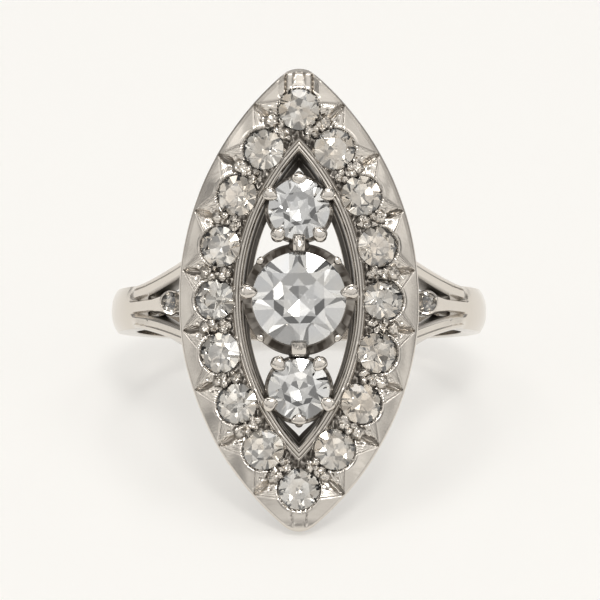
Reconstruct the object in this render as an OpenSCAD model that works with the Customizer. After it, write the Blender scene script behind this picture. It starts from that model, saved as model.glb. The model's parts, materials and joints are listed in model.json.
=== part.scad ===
// Navette cluster ring: a domed, pointed oval head pierced in the middle, with grain-set stones
// around its border, three claw-set stones in a row and a band whose shoulders fork into leaves.
// The ring is drawn with the finger along Y and the head up, then laid on its side.

/* [Band] */
// Inner diameter, the finger's
finger_d = 17; // [16.6:0.1:17.4]
// Thickness of the band
band_t = 1.3; // [1.2:0.05:1.4]
// Width of the band along the finger
band_w = 2.2; // [2.1:0.05:2.4]
// Size of the bevel along the band's two outer edges
band_bevel = 0.32; // [0.2:0.02:0.4]

/* [Shoulders] */
// Distance from the middle at which the shoulders start to flare
flare_x = 8.7; // [8.6:0.05:8.8]
// Half of the shoulders' width at the head's edge
flare_w = 2.05; // [1.95:0.05:2.15]
// Width of each outer leaf
leaf_w = 0.78; // [0.7:0.02:0.86]
// Half of the middle leaf's width
mid_leaf_w = 0.42; // [0.38:0.02:0.46]

/* [Head] */
// Length of the head along the finger
head_l = 23.45; // [23.3:0.05:23.7]
// Width of the head across the finger
head_w = 12.05; // [12:0.05:12.3]
// Radius of its rounded tips
tip_r = 1.2; // [1.1:0.1:1.6]
// Height of its crest above the finger's axis
crest = 12.4; // [12.3:0.05:12.5]
// Radius of the dome across the finger
dome_r = 13.8; // [13.4:0.1:14.4]
// Thickness of the head's plate
plate_t = 1.1; // [1.05:0.05:1.2]
// Width of the bevel around the head's face
bevel_w = 0.4; // [0.3:0.05:0.5]
// Depth of that bevel at the tips
bevel_h = 0.6; // [0.5:0.05:0.7]

/* [Opening] */
// Length of the pierced opening
open_l = 15.2; // [15.1:0.1:15.3]
// Width of the pierced opening
open_w = 5.9; // [5.85:0.05:5.95]
// Depth of the wall around the opening
gallery_h = 2.7; // [2.5:0.1:2.9]
// How far that wall closes in over its depth
gallery_taper = 0.5; // [0.4:0.05:0.6]
// Thickness of that wall
gallery_t = 0.5; // [0.45:0.05:0.6]
// Height of the rim's two ridges above the dome
ridge_h = 0.14; // [0.1:0.02:0.2]
// Width of each ridge
ridge_w = 0.16; // [0.14:0.01:0.18]

/* [Border stones] */
// Diameter of the border stones
border_d = 2.05; // [1.95:0.05:2.1]
// Half of the width of the pointed path that they follow
path_w = 4.3; // [4.25:0.05:4.35]
// Half of the length of that path
path_l = 9.6; // [9.55:0.05:9.65]
// Depth of their girdles below the dome
border_sink = 0.14; // [0.1:0.02:0.18]
// Radius of the grains between them
grain_r = 0.3; // [0.26:0.02:0.32]

/* [Centre stones] */
// Diameter of the middle stone
middle_d = 4.75; // [4.6:0.05:4.8]
// Diameter of the stones above and below it
small_d = 3.1; // [3:0.05:3.15]
// Distance of those two from the middle
small_y = 4.56; // [4.54:0.02:4.6]
// Height of the middle stone's girdle over the crest
middle_lift = 0.1; // [0.05:0.05:0.15]
// Depth of the small stones' girdles below the crest
small_sink = 0.05; // [0:0.05:0.1]

/* [Shoulder stones] */
// Diameter of the two shoulder stones
spark_d = 1; // [0.95:0.05:1.05]
// Their distance from the middle
spark_x = 6.5; // [6.45:0.05:6.6]
// Height of their girdles above the finger's axis
spark_z = 9.2; // [9.1:0.05:9.25]

/* [Hidden] */
border_count = 16;
border_names = [for (i = [1 : border_count]) str("border_stone_", i)];

metal = [0.78, 0.77, 0.75];
diamond = [0.9, 0.94, 0.97];
smooth = 192;
round_fn = 48;
gap = 0.03;
thin = 0.01;
through = 1;

finger_r = finger_d / 2;
band_r = finger_r + band_t;
dome_z = crest - dome_r;

// A pointed oval is where two equal discs meet: their radius follows from its half width and length
function oval_r(w, l) = (w * w + l * l) / (2 * w);
open_r = oval_r(open_w / 2, open_l / 2);
open_off = open_r - open_w / 2;
path_r = oval_r(path_w, path_l);
path_off = path_r - path_w;

// The head's flanks are arcs that run smoothly into its round tips
tip_y = head_l / 2 - tip_r;
flank_r = (pow(head_w / 2, 2) + pow(tip_y, 2) - pow(tip_r, 2)) / (head_w - 2 * tip_r);
flank_off = flank_r - head_w / 2;
flank_turn = atan(tip_y / flank_off);
flank_steps = 20;
tip_steps = 8;

// The brilliant cut's proportions
table_share = 0.6;
star_share = 0.5;
lower_share = 0.24;
girdle_share = 0.035;
crown_turn = 34.5;
pavilion_turn = 40.75;
function crown_h(r) = r * (1 - table_share) * tan(crown_turn);
function girdle_h(r) = r * girdle_share;
function pavilion_h(r) = r * tan(pavilion_turn);

// Depth to which the wall around the opening and the collets' feet reach into the dome
gallery_root = 0.1;
ridge_gap = 0.1;

// Clearance around a border stone's crown, and the share of its radius that is open at the back
seat_clear = 0.08;
back_share = 0.5;

// Grains stand on both sides of the path; each graver's cut starts behind the outer one
grain_out = 0.42;
grain_sink = 0.06;
cut_start = 0.5;
cut_l = 1.4;
cut_depth = 0.26;
cut_rise = 9;
cut_half_w = 1;
cut_h = 0.9;

// Collets: heights count from the girdle, radii from the stone's own
middle_edge = 0.45;
middle_foot = 2.6;
middle_flare = 0.5;
middle_taper = 1.15;
middle_wall = 0.5;
scallops = 8;
scallop_r = 0.42;
middle_claw_r = 0.32;
middle_claw_top = 0.35;
small_edge = 0.4;
small_foot = 2;
small_flare = 0.12;
small_taper = 0.72;
small_wall = 0.36;
small_claw_r = 0.25;
small_claw_top = 0.22;
small_claw_turns = [27, 90, 153, 231, 309];
claw_root = 1.1;
bridge_l = 0.9;
shared_claw_l = 1.25;
shared_claw_top = 0.3;
spark_wall = 0.14;
spark_collet_h = 1.9;

// The shoulders leave the band along a tangent and end below the head's edge
shoulder_turn = 23.4;
shoulder_top = [head_w / 2 - 0.1, 10.2];
shoulder_end = 5;
shoulder_root = 0.4;
shoulder_start_z = 2.9;
flare_power = 1.4;
slit_x = 8.3;
slit_step = 0.3;
bevel_stop = 4.4;

// Lying on its side, the ring stands on the head's lower tip and on the back of the band
tip_floor = [head_l / 2, crest - plate_t];
back_floor = [band_w / 2, band_r - band_bevel];
tip_front = [head_l / 2 - bevel_w, crest];
back_rear = [band_w / 2 - band_bevel, band_r];
rest_turn = atan((tip_floor[1] + back_floor[1]) / (tip_floor[0] - back_floor[0]));
rest_h = tip_floor[0] * sin(rest_turn) - tip_floor[1] * cos(rest_turn);
rest_shift = (tip_front[0] * cos(rest_turn) + tip_front[1] * sin(rest_turn)
    - back_rear[0] * cos(rest_turn) - back_rear[1] * sin(rest_turn)) / 2;

module at_rest() {
    translate([0, rest_shift, rest_h]) rotate([rest_turn, 0, 0]) children();
}

module both_x() {
    children();
    mirror([1, 0, 0]) children();
}

module both_y() {
    children();
    mirror([0, 1, 0]) children();
}

// Round brilliant with its girdle's top at z = 0: rings of points for the table, the star facets,
// the girdle's two edges and the lower facets, between the table's middle and the culet
module brilliant(d) {
    r = d / 2;
    rt = r * table_share;
    rs = rt + (r - rt) * star_share;
    rl = r * lower_share;
    zt = crown_h(r);
    half = 360 / 16;
    zs = zt - (rs * cos(half) - rt) * tan(crown_turn);
    zg = -girdle_h(r);
    zl = zg - (r - rl * cos(half)) * tan(pavilion_turn);
    function ring(rad, z, n, turn) = [for (i = [0 : n - 1])
        [rad * cos(turn + i * 360 / n), rad * sin(turn + i * 360 / n), z]];
    points = concat([[0, 0, zt]], ring(rt, zt, 8, 0), ring(rs, zs, 8, half), ring(r, 0, 16, 0),
        ring(r, zg, 16, 0), ring(rl, zl, 8, half), [[0, 0, zg - pavilion_h(r)]]);
    t = 1;
    s = t + 8;
    g = s + 8;
    b = g + 16;
    l = b + 16;
    culet = l + 8;
    faces = [for (i = [0 : 7])
        let (j = (i + 1) % 8, h = (i + 7) % 8, k = 2 * i, m = k + 1, n = (k + 2) % 16)
        each [
            [0, t + j, t + i], [t + i, t + j, s + i],
            [t + i, s + i, g + k], [t + i, g + k, s + h],
            [s + i, g + m, g + k], [s + i, g + n, g + m],
            [g + k, g + m, b + m], [g + k, b + m, b + k],
            [g + m, g + n, b + n], [g + m, b + n, b + m],
            [b + k, b + m, l + i], [b + m, b + n, l + i],
            [b + k, l + i, culet], [b + k, culet, l + h]
        ]];
    polyhedron(points, faces);
}

// The room that a stone takes up in the metal, a little larger than the stone
module stone_room(d) {
    r = d / 2;
    top = crown_h(r) + gap;
    rotate_extrude($fn = round_fn) polygon([
        [0, -girdle_h(r) - pavilion_h(r) - gap],
        [r + gap, -girdle_h(r) - gap],
        [r + gap, gap],
        [r * table_share + gap, top],
        [r * table_share + gap, top + through],
        [0, top + through]
    ]);
}

// Step k along the border's path, from its widest place; a half step lies between two stones
path_step = asin(path_l / path_r) * 4 / border_count;
function path_x(k) = path_r * cos(k * path_step) - path_off;
function path_y(k) = path_r * sin(k * path_step);

// Puts its children on the dome at step k: Z is the dome's normal, X points out of the path
module on_border(k) {
    x = path_x(k);
    translate([0, path_y(k), dome_z]) rotate([0, asin(x / dome_r), 0])
        translate([0, 0, dome_r]) rotate([0, 0, k * path_step]) children();
}

// Stones 1 to 16 run clockwise from the upper tip
module at_border_stone(i) {
    k = border_count / 4 - (i - 1);
    if (k >= -border_count / 4) on_border(k) children();
    else mirror([1, 0, 0]) on_border(-k - border_count / 2) children();
}

module at_middle() {
    translate([0, 0, crest + middle_lift]) children();
}

module at_small() {
    translate([0, small_y, crest - small_sink]) children();
}

module at_spark() {
    translate([spark_x, 0, spark_z]) children();
}

// Points around the head, drawn in by `inset`
function arc(x, y, r, from, to, steps) = [for (i = [0 : steps - 1])
    let (a = from + (to - from) * i / steps) [x + r * cos(a), y + r * sin(a)]];
function head_outline(inset) = concat(
    arc(-flank_off, 0, flank_r - inset, -flank_turn, flank_turn, flank_steps),
    arc(0, tip_y, tip_r - inset, flank_turn, 180 - flank_turn, tip_steps),
    arc(flank_off, 0, flank_r - inset, 180 - flank_turn, 180 + flank_turn, flank_steps),
    arc(0, -tip_y, tip_r - inset, 180 + flank_turn, 360 - flank_turn, tip_steps));

// A slab with the head's outline, bevelled towards the crest
module head_slab(bottom) {
    hull() {
        translate([0, 0, bottom]) linear_extrude(crest - bevel_h - bottom) polygon(head_outline(0));
        translate([0, 0, crest]) linear_extrude(thin) polygon(head_outline(bevel_w));
    }
}

// All that lies inside the dome, let down by `drop`
module dome(drop) {
    translate([0, 0, dome_z]) rotate([90, 0, 0])
        cylinder(r = dome_r - drop, h = head_l + through, center = true, $fn = smooth);
}

module plate() {
    difference() {
        intersection() {
            head_slab(crest - gallery_h - through);
            dome(0);
        }
        dome(plate_t);
    }
}

// The opening's shape grown by `grow`, from its foot up; it closes in downwards
module opening_block(grow, foot, top) {
    slope = gallery_taper / gallery_h;
    low = open_r + grow - (crest - foot) * slope;
    high = open_r + grow + (top - crest) * slope;
    intersection() {
        translate([open_off, 0, foot]) cylinder(r1 = low, r2 = high, h = top - foot, $fn = smooth);
        translate([-open_off, 0, foot]) cylinder(r1 = low, r2 = high, h = top - foot, $fn = smooth);
    }
}

// The wall around the opening, closed for now, with the rim's two ridges on top
module gallery() {
    foot = crest - gallery_h;
    intersection() {
        opening_block(gallery_t, foot, crest + through);
        dome(gallery_root);
    }
    intersection() {
        difference() {
            opening_block(2 * ridge_w + ridge_gap, crest - plate_t, crest + through);
            opening_block(ridge_w + ridge_gap, crest - plate_t - through, crest + 2 * through);
        }
        dome(-ridge_h);
    }
    intersection() {
        opening_block(ridge_w, crest - plate_t, crest + through);
        dome(-ridge_h);
    }
}

module opening() {
    opening_block(0, crest - gallery_h - through, crest + 2 * through);
}

// Graver's cut between two stones: a groove that rises and runs out near the head's edge
module star_cut() {
    translate([cut_start, 0, -cut_depth]) rotate([0, -cut_rise, 0]) rotate([90, 0, 90])
        linear_extrude(cut_l) polygon([[0, 0], [cut_half_w, cut_h], [-cut_half_w, cut_h]]);
}

module grains() {
    for (side = [-1, 1]) translate([side * grain_out, 0, -grain_sink]) sphere(r = grain_r, $fn = round_fn);
}

// Seat above a border stone's girdle, and the open back below it
module border_seat() {
    r = border_d / 2;
    cylinder(r = r + seat_clear, h = through, $fn = round_fn);
    translate([0, 0, -plate_t - through])
        cylinder(r = r * back_share, h = plate_t + through / 2, $fn = round_fn);
}

// Cup of a collet: a cone wall that opens from its foot up to its edge
module cup(r_foot, r_edge, h, wall) {
    difference() {
        cylinder(r1 = r_foot, r2 = r_edge, h = h, $fn = round_fn);
        translate([0, 0, -gap])
            cylinder(r1 = r_foot - wall, r2 = r_edge - wall, h = h + 2 * gap, $fn = round_fn);
    }
}

// Claw at distance x from the stone's middle, whose bead leans over the stone
module claw(x, r, top) {
    translate([x, 0, -claw_root]) cylinder(r = r, h = claw_root + top, $fn = round_fn);
    translate([x - r / 3, 0, top]) sphere(r = r, $fn = round_fn);
}

// Scalloped cup with a claw on each side, bridged to the opening's wall
module middle_collet() {
    r = middle_d / 2;
    edge_r = r + middle_flare;
    difference() {
        translate([0, 0, -middle_foot])
            cup(edge_r - middle_taper, edge_r, middle_foot - middle_edge, middle_wall);
        for (i = [0 : scallops - 1]) rotate([0, 0, (i + 0.5) * 360 / scallops])
            translate([r, 0, scallop_r / 4 - middle_edge]) rotate([0, 90, 0])
                cylinder(r = scallop_r, h = r, center = true, $fn = round_fn);
    }
    both_x() {
        claw(r + middle_claw_r / 3, middle_claw_r, middle_claw_top);
        translate([r - middle_wall / 2, 0, -claw_root]) rotate([0, 90, 0])
            cylinder(r = middle_claw_r, h = bridge_l, $fn = round_fn);
    }
}

module small_collet() {
    r = small_d / 2;
    edge_r = r + small_flare;
    translate([0, 0, -small_foot]) cup(edge_r - small_taper, edge_r, small_foot - small_edge, small_wall);
    for (turn = small_claw_turns) rotate([0, 0, turn])
        claw(r + small_claw_r / 3, small_claw_r, small_claw_top);
}

// Claw shared by the middle stone and its neighbour: a rounded bar on a post
module shared_claw() {
    r = middle_claw_r;
    y = (middle_d / 2 + small_y - small_d / 2) / 2;
    top = crest + shared_claw_top;
    translate([0, y, top - 2 * claw_root]) cylinder(r = r, h = 2 * claw_root, $fn = round_fn);
    translate([0, y, top]) rotate([90, 0, 0])
        cylinder(r = r, h = shared_claw_l, center = true, $fn = round_fn);
    for (side = [-1, 1]) translate([0, y + side * shared_claw_l / 2, top]) sphere(r = r, $fn = round_fn);
}

module centre_collets() {
    at_middle() middle_collet();
    both_y() {
        at_small() small_collet();
        shared_claw();
    }
}

// The band and shoulders seen along the finger, before the finger hole takes their inner corners
module side_view() {
    start_r = band_r - thin;
    circle(r = band_r, $fn = smooth);
    both_x() polygon([
        [start_r * cos(shoulder_turn), start_r * sin(shoulder_turn)],
        shoulder_top,
        [shoulder_end, shoulder_top[1] + shoulder_root],
        [shoulder_end, 4 * through],
        [finger_r - through, 2 * through]
    ]);
}

// Half of the shoulders' width at distance x from the middle
function shoulder_w(x) = band_w / 2
    + (flare_w - band_w / 2) * pow(max(0, flare_x - x) / (flare_x - head_w / 2), flare_power);

module shoulder_outline() {
    xs = [for (i = [0 : 8]) flare_x - (flare_x - shoulder_end) * i / 8];
    both_y() polygon(concat([[band_r + through, 0], [band_r + through, band_w / 2]],
        [for (x = xs) [x, shoulder_w(x)]], [[shoulder_end, 0]]));
}

// Slit between the middle leaf and an outer leaf
module slit_outline() {
    start = slit_x - slit_step;
    xs = [for (i = [0 : 6]) start - (start - shoulder_end + through) * i / 6];
    polygon(concat([[slit_x, mid_leaf_w]], [for (x = xs) [x, shoulder_w(x) - leaf_w]],
        [[shoulder_end - through, mid_leaf_w]]));
}

module shank() {
    difference() {
        rotate([90, 0, 0]) linear_extrude(head_w / 2, center = true) difference() {
            side_view();
            translate([-shoulder_end, 0]) square([2 * shoulder_end, 2 * crest]);
        }
        // The band's sides, below the shoulders
        both_y() translate([-crest, band_w / 2, -crest]) cube([2 * crest, crest, crest + shoulder_start_z]);
        // The shoulders' flare, above them
        difference() {
            translate([-crest, -crest, shoulder_start_z - gap]) cube([2 * crest, 2 * crest, crest]);
            both_x() linear_extrude(2 * crest) shoulder_outline();
        }
        both_x() both_y() linear_extrude(2 * crest) slit_outline();
        both_y() band_edge_bevel();
    }
    both_x() spark_collet();
}

// Bevel along one outer edge of the band, up to the shoulders
module band_edge_bevel() {
    turn = shoulder_turn - bevel_stop;
    edge = -band_w / 2;
    rotate([90, 0, 0]) rotate([0, 0, 180 - turn]) rotate_extrude(angle = 180 + 2 * turn, $fn = smooth)
        polygon([
            [band_r - band_bevel - gap, edge - gap],
            [band_r + gap, edge + band_bevel + gap],
            [band_r + gap, edge - gap]
        ]);
}

module spark_collet() {
    at_spark() translate([0, 0, -spark_collet_h])
        cylinder(r = spark_d / 2 + spark_wall, h = spark_collet_h + gap, $fn = round_fn);
}

module finger_hole() {
    rotate([90, 0, 0]) cylinder(r = finger_r, h = 2 * head_l, center = true, $fn = smooth);
}

module mount() {
    color(metal) difference() {
        union() {
            difference() {
                union() {
                    difference() {
                        plate();
                        for (i = [1 : border_count]) at_border_stone(i) border_seat();
                        for (k = [0.5 : border_count / 4]) both_x() both_y() on_border(k) star_cut();
                    }
                    gallery();
                }
                opening();
            }
            for (k = [0.5 : border_count / 4]) both_x() both_y() on_border(k) grains();
            centre_collets();
            shank();
        }
        finger_hole();
        for (i = [1 : border_count]) at_border_stone(i)
            translate([0, 0, -border_sink]) stone_room(border_d);
        at_middle() stone_room(middle_d);
        both_y() at_small() stone_room(small_d);
        both_x() at_spark() stone_room(spark_d);
    }
}

module border_stone(i) {
    color(diamond) at_border_stone(i) translate([0, 0, -border_sink]) brilliant(border_d);
}

module middle_stone() {
    color(diamond) at_middle() brilliant(middle_d);
}

module upper_stone() {
    color(diamond) at_small() brilliant(small_d);
}

module lower_stone() {
    color(diamond) mirror([0, 1, 0]) at_small() brilliant(small_d);
}

module shoulder_stone_left() {
    color(diamond) mirror([1, 0, 0]) at_spark() brilliant(spark_d);
}

module shoulder_stone_right() {
    color(diamond) at_spark() brilliant(spark_d);
}

at_rest() mount();
for (i = [1 : border_count])
    at_rest() border_stone(i);
at_rest() middle_stone();
at_rest() upper_stone();
at_rest() lower_stone();
at_rest() shoulder_stone_left();
at_rest() shoulder_stone_right();
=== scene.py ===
"""Navette cluster ring of white metal and diamonds, lying on its side on a pale floor.

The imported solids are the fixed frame. Sizes in the classes are millimetres, drawn with the finger
along Y, the head facing up (+Z) and X across the head; RingFrame lays them in the part's own frame.
"""

import json
import logging
import math
from dataclasses import dataclass, field
from enum import Enum

import bmesh
import bpy
import numpy as np
from bpy.types import Material, Mesh, Node, NodeSocket, NodeTree, Object
from mathutils import Matrix, Vector


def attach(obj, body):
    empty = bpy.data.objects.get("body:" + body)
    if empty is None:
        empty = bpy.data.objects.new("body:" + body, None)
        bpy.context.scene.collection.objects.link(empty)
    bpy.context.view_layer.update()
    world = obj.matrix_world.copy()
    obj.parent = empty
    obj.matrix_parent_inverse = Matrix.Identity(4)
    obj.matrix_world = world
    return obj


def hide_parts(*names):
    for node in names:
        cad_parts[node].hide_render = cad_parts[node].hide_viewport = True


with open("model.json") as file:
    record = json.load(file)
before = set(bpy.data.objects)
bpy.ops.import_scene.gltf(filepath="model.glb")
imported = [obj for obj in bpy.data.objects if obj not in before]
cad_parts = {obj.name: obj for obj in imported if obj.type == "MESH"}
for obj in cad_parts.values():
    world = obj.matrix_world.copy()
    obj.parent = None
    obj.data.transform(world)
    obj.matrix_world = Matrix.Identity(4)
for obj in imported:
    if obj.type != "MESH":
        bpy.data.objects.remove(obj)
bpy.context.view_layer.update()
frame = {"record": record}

LOG = logging.getLogger("navette_ring")
MM = 0.001
BODY = "root"
UP = np.array([0.0, 0.0, 1.0])


class Slot(Enum):
    """Material slots of the record."""

    METAL = "metal"
    DIAMOND = "diamond"


def smoothstep(value: np.ndarray, low: float, high: float) -> np.ndarray:
    """Rises smoothly from 0 at low to 1 at high.

    Args:
        value: Numbers to map.
        low: Where the rise starts.
        high: Where it ends.

    Returns:
        An array of the same shape, from 0 to 1.
    """
    t = np.clip((value - low) / (high - low), 0.0, 1.0)
    return t * t * (3.0 - 2.0 * t)


def ridge(distance: np.ndarray, width: float) -> np.ndarray:
    """Bell curve that is 1 at distance 0 and falls off over the width."""
    return np.exp(-((distance / width) ** 2))


def full_turn(steps: int) -> np.ndarray:
    """Angles of even steps around a circle, in radians."""
    return np.linspace(0.0, 2.0 * math.pi, steps, endpoint=False)


def both_sides(right: np.ndarray) -> np.ndarray:
    """Closes lines around the opening from their right sides.

    Args:
        right: Points from the lower end to the upper one, in the second to last axis. Their first
            and last points are moved onto the middle line in place.

    Returns:
        The points all the way round.
    """
    right[..., [0, -1], 0] = 0.0
    mirror = np.ones(right.shape[-1])
    mirror[0] = -1.0
    return np.concatenate((right, right[..., -2:0:-1, :] * mirror), axis=-2)


@dataclass(frozen=True)
class RingFrame:
    """Where the ring, drawn face up, lies in the part's frame.

    Args:
        origin: Middle of the finger hole, in metres.
        finger: Direction of the finger's axis.
    """

    origin: Vector
    finger: Vector

    @classmethod
    def from_record(cls, record: dict) -> "RingFrame":
        """Reads the finger hole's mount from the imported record.

        Args:
            record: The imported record.

        Returns:
            The frame that lays the ring as the solids lie.
        """
        mount = next(m for m in record["mounts"] if m["name"] == "finger_hole")
        return cls(Vector(mount["pos_m"]), Vector(mount["axis"]).normalized())

    def up(self) -> Vector:
        """Direction that the head faces."""
        return Vector((1.0, 0.0, 0.0)).cross(self.finger)

    def matrix(self) -> Matrix:
        """Turns millimetres in the drawing into metres in the part's frame."""
        axes = Matrix((Vector((1.0, 0.0, 0.0)), self.finger, self.up())).transposed()
        return Matrix.Translation(self.origin) @ axes.to_4x4() @ Matrix.Scale(MM, 4)

    def place(self, x: float, y: float, z: float) -> Vector:
        """One point of the drawing, in the part's frame."""
        return self.matrix() @ Vector((x, y, z))


RING = RingFrame.from_record(frame["record"])


def make_piece(
    name: str, points: np.ndarray, faces: list, material: Material, smooth_angle: float,
    layers: dict[str, np.ndarray],
) -> Object:
    """Makes a piece of metal from points in the drawing's millimetres.

    Args:
        name: Name of the piece.
        points: Vertices, one row each.
        faces: Vertex numbers of each face, anticlockwise as seen from outside.
        material: The metal.
        smooth_angle: Edges sharper than this, in degrees, stay sharp; 0 shades it flat.
        layers: Values for each vertex, stored as named attributes.

    Returns:
        The object, riding on the ring's one body.
    """
    mesh = bpy.data.meshes.new(name)
    mesh.from_pydata(points.tolist(), [], faces)
    for layer, values in layers.items():
        stored = mesh.attributes.new(layer, "FLOAT", "POINT")
        stored.data.foreach_set("value", values.astype(np.float32))
    return finish_piece(name, mesh, material, smooth_angle)


def finish_piece(
    name: str, mesh: Mesh, material: Material, smooth_angle: float
) -> Object:
    """Lays a drawn mesh in the part's frame, cleans it and makes it a piece.

    Args:
        name: Name of the piece.
        mesh: Mesh in the drawing's millimetres.
        material: Its material.
        smooth_angle: As in make_piece.

    Returns:
        The object.
    """
    merge_distance = 1e-4
    work = bmesh.new()
    work.from_mesh(mesh)
    bmesh.ops.remove_doubles(work, verts=work.verts, dist=merge_distance)
    bmesh.ops.dissolve_degenerate(work, edges=work.edges, dist=merge_distance)
    work.to_mesh(mesh)
    work.free()
    mesh.transform(RING.matrix())
    mesh.materials.clear()
    mesh.materials.append(material)
    if smooth_angle > 0:
        mesh.shade_smooth()
        mesh.set_sharp_from_angle(angle=math.radians(smooth_angle))
    else:
        mesh.shade_flat()
    mesh.update()
    piece = bpy.data.objects.new(name, mesh)
    bpy.context.scene.collection.objects.link(piece)
    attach(piece, BODY)
    LOG.info("%s: %d vertices, %d faces", name, len(mesh.vertices), len(mesh.polygons))
    return piece


class Sheet:
    """Collects the points and faces of grids, bars and tubes into one mesh."""

    def __init__(self) -> None:
        """Starts empty."""
        self.points: list[np.ndarray] = []
        self.faces: list[tuple[int, ...]] = []
        self.layer: list[np.ndarray] = []
        self.count = 0

    def add(self, points: np.ndarray, faces: list, patina_and_shade: float | np.ndarray = 0.0) -> None:
        """Adds points and the faces between them.

        Args:
            points: Vertices, one row each.
            faces: Vertex numbers that count from this call's first point.
            patina_and_shade: How dark the metal is there, from 0 to 1, with grime and painted shade.
        """
        self.points.append(np.asarray(points, float).reshape(-1, 3))
        number = len(self.points[-1])
        self.layer.append(np.broadcast_to(np.asarray(patina_and_shade, float).ravel(), (number,)).copy())
        self.faces.extend(tuple(i + self.count for i in face) for face in faces)
        self.count += number

    def grid(self, points: np.ndarray, patina_and_shade: float | np.ndarray = 0.0) -> None:
        """Adds a grid of quads whose last column joins the first.

        Args:
            points: Array of rows, columns and coordinates.
            patina_and_shade: How dark the metal is, one value or one for each point.
        """
        rows, columns = points.shape[:2]
        faces = [
            (i + j, i + (j + 1) % columns, i + columns + (j + 1) % columns, i + columns + j)
            for i in range(0, (rows - 1) * columns, columns)
            for j in range(columns)
        ]
        self.add(points, faces, patina_and_shade)

    def bar(self, rings: np.ndarray, patina_and_shade: float | np.ndarray) -> None:
        """Adds a bar with flat ends.

        Args:
            rings: Its sections, anticlockwise as seen from the last one's end.
            patina_and_shade: As in grid.
        """
        self.grid(rings, patina_and_shade)
        loop = tuple(range(rings.shape[1]))
        self.add(rings[0], [loop[::-1]])
        self.add(rings[-1], [loop])

    def tube(self, path: np.ndarray, radii: float | np.ndarray, sides: int, patina_and_shade: float = 0.0) -> None:
        """Adds a tube with round ends.

        Args:
            path: Points along its middle.
            radii: Its radius, one value or one for each of them.
            sides: Number of sides.
            patina_and_shade: How dark its metal is.
        """
        radii = np.broadcast_to(radii, (len(path),))
        cap_steps = 4
        cap = np.radians(np.linspace(90.0, 90.0 / cap_steps, cap_steps))
        ends = []
        for tip, neighbour, size in ((path[0], path[1], radii[0]), (path[-1], path[-2], radii[-1])):
            ahead = (tip - neighbour) / np.linalg.norm(tip - neighbour)
            ends.append(tip + np.outer(np.sin(cap), ahead * size))
        middles = np.concatenate((ends[0], path, ends[1][::-1]))
        sizes = np.concatenate((radii[0] * np.cos(cap), radii, radii[-1] * np.cos(cap[::-1])))
        along = np.gradient(middles, axis=0)
        along /= np.linalg.norm(along, axis=1)[:, None]
        side = np.cross(along[0], [1.0, 0.0, 0.0] if abs(along[0][0]) < 0.9 else [0.0, 1.0, 0.0])
        turn = full_turn(sides)
        rings = []
        for middle, size, ahead in zip(middles, sizes, along):
            side = side - ahead * float(side @ ahead)
            side /= np.linalg.norm(side)
            other = np.cross(ahead, side)
            rings.append(middle + size * (np.outer(np.cos(turn), side) + np.outer(np.sin(turn), other)))
        self.grid(np.array(rings), patina_and_shade)

    def piece(self, name: str, material: Material, smooth_angle: float) -> None:
        """Makes the collected mesh a piece."""
        layers = {"patina_and_shade": np.concatenate(self.layer)}
        make_piece(name, np.concatenate(self.points), self.faces, material, smooth_angle, layers)


class Wiring:
    """Adds nodes to a tree, each set and fed in one call."""

    def __init__(self, tree: NodeTree) -> None:
        """Takes the tree."""
        self.tree = tree

    def feed(self, node: Node, feeds: dict) -> None:
        """Sets a node's inputs.

        Args:
            node: The node.
            feeds: For each input, by its name or number, a value or the socket that feeds it.
        """
        for key, value in feeds.items():
            if isinstance(value, NodeSocket):
                self.tree.links.new(value, node.inputs[key])
            else:
                node.inputs[key].default_value = value

    def add(self, kind: str, out: str, feeds: dict | None = None, **settings: str) -> NodeSocket:
        """Adds a node.

        Args:
            kind: Its type.
            out: The output that is wanted.
            feeds: Its inputs, as in feed.
            settings: Its properties, which are set before its inputs.

        Returns:
            The socket of that output.
        """
        node = self.tree.nodes.new(kind)
        for name, value in settings.items():
            setattr(node, name, value)
        self.feed(node, feeds or {})
        return node.outputs[out]

    def maths(self, operation: str, *values: NodeSocket | float) -> NodeSocket:
        """Adds a Math node, fed with sockets or numbers."""
        return self.add("ShaderNodeMath", "Value", dict(enumerate(values)), operation=operation)

    def remap(
        self, value: NodeSocket, source: tuple[float, float], target: tuple[float, float],
        kind: str = "LINEAR",
    ) -> NodeSocket:
        """Maps a value from one range to another and keeps it inside.

        Args:
            value: The value.
            source: The range's ends before.
            target: Its ends after.
            kind: How it rises between them.

        Returns:
            The socket with the mapped value.
        """
        feeds = dict(zip(("From Min", "From Max", "To Min", "To Max"), (*source, *target)))
        return self.add("ShaderNodeMapRange", "Result", {**feeds, "Value": value}, interpolation_type=kind)

    def attribute(self, name: str) -> NodeSocket:
        """Reads a piece's attribute, which is 0 where it has none."""
        return self.add("ShaderNodeAttribute", "Fac", attribute_name=name)


def new_material(name: str) -> tuple[Material, Wiring, Node]:
    """Makes a material that has only its shader.

    Args:
        name: Name of the material.

    Returns:
        The material, its wiring and its shader.
    """
    made = bpy.data.materials.new(name)
    made.use_nodes = True
    return made, Wiring(made.node_tree), made.node_tree.nodes["Principled BSDF"]


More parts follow.
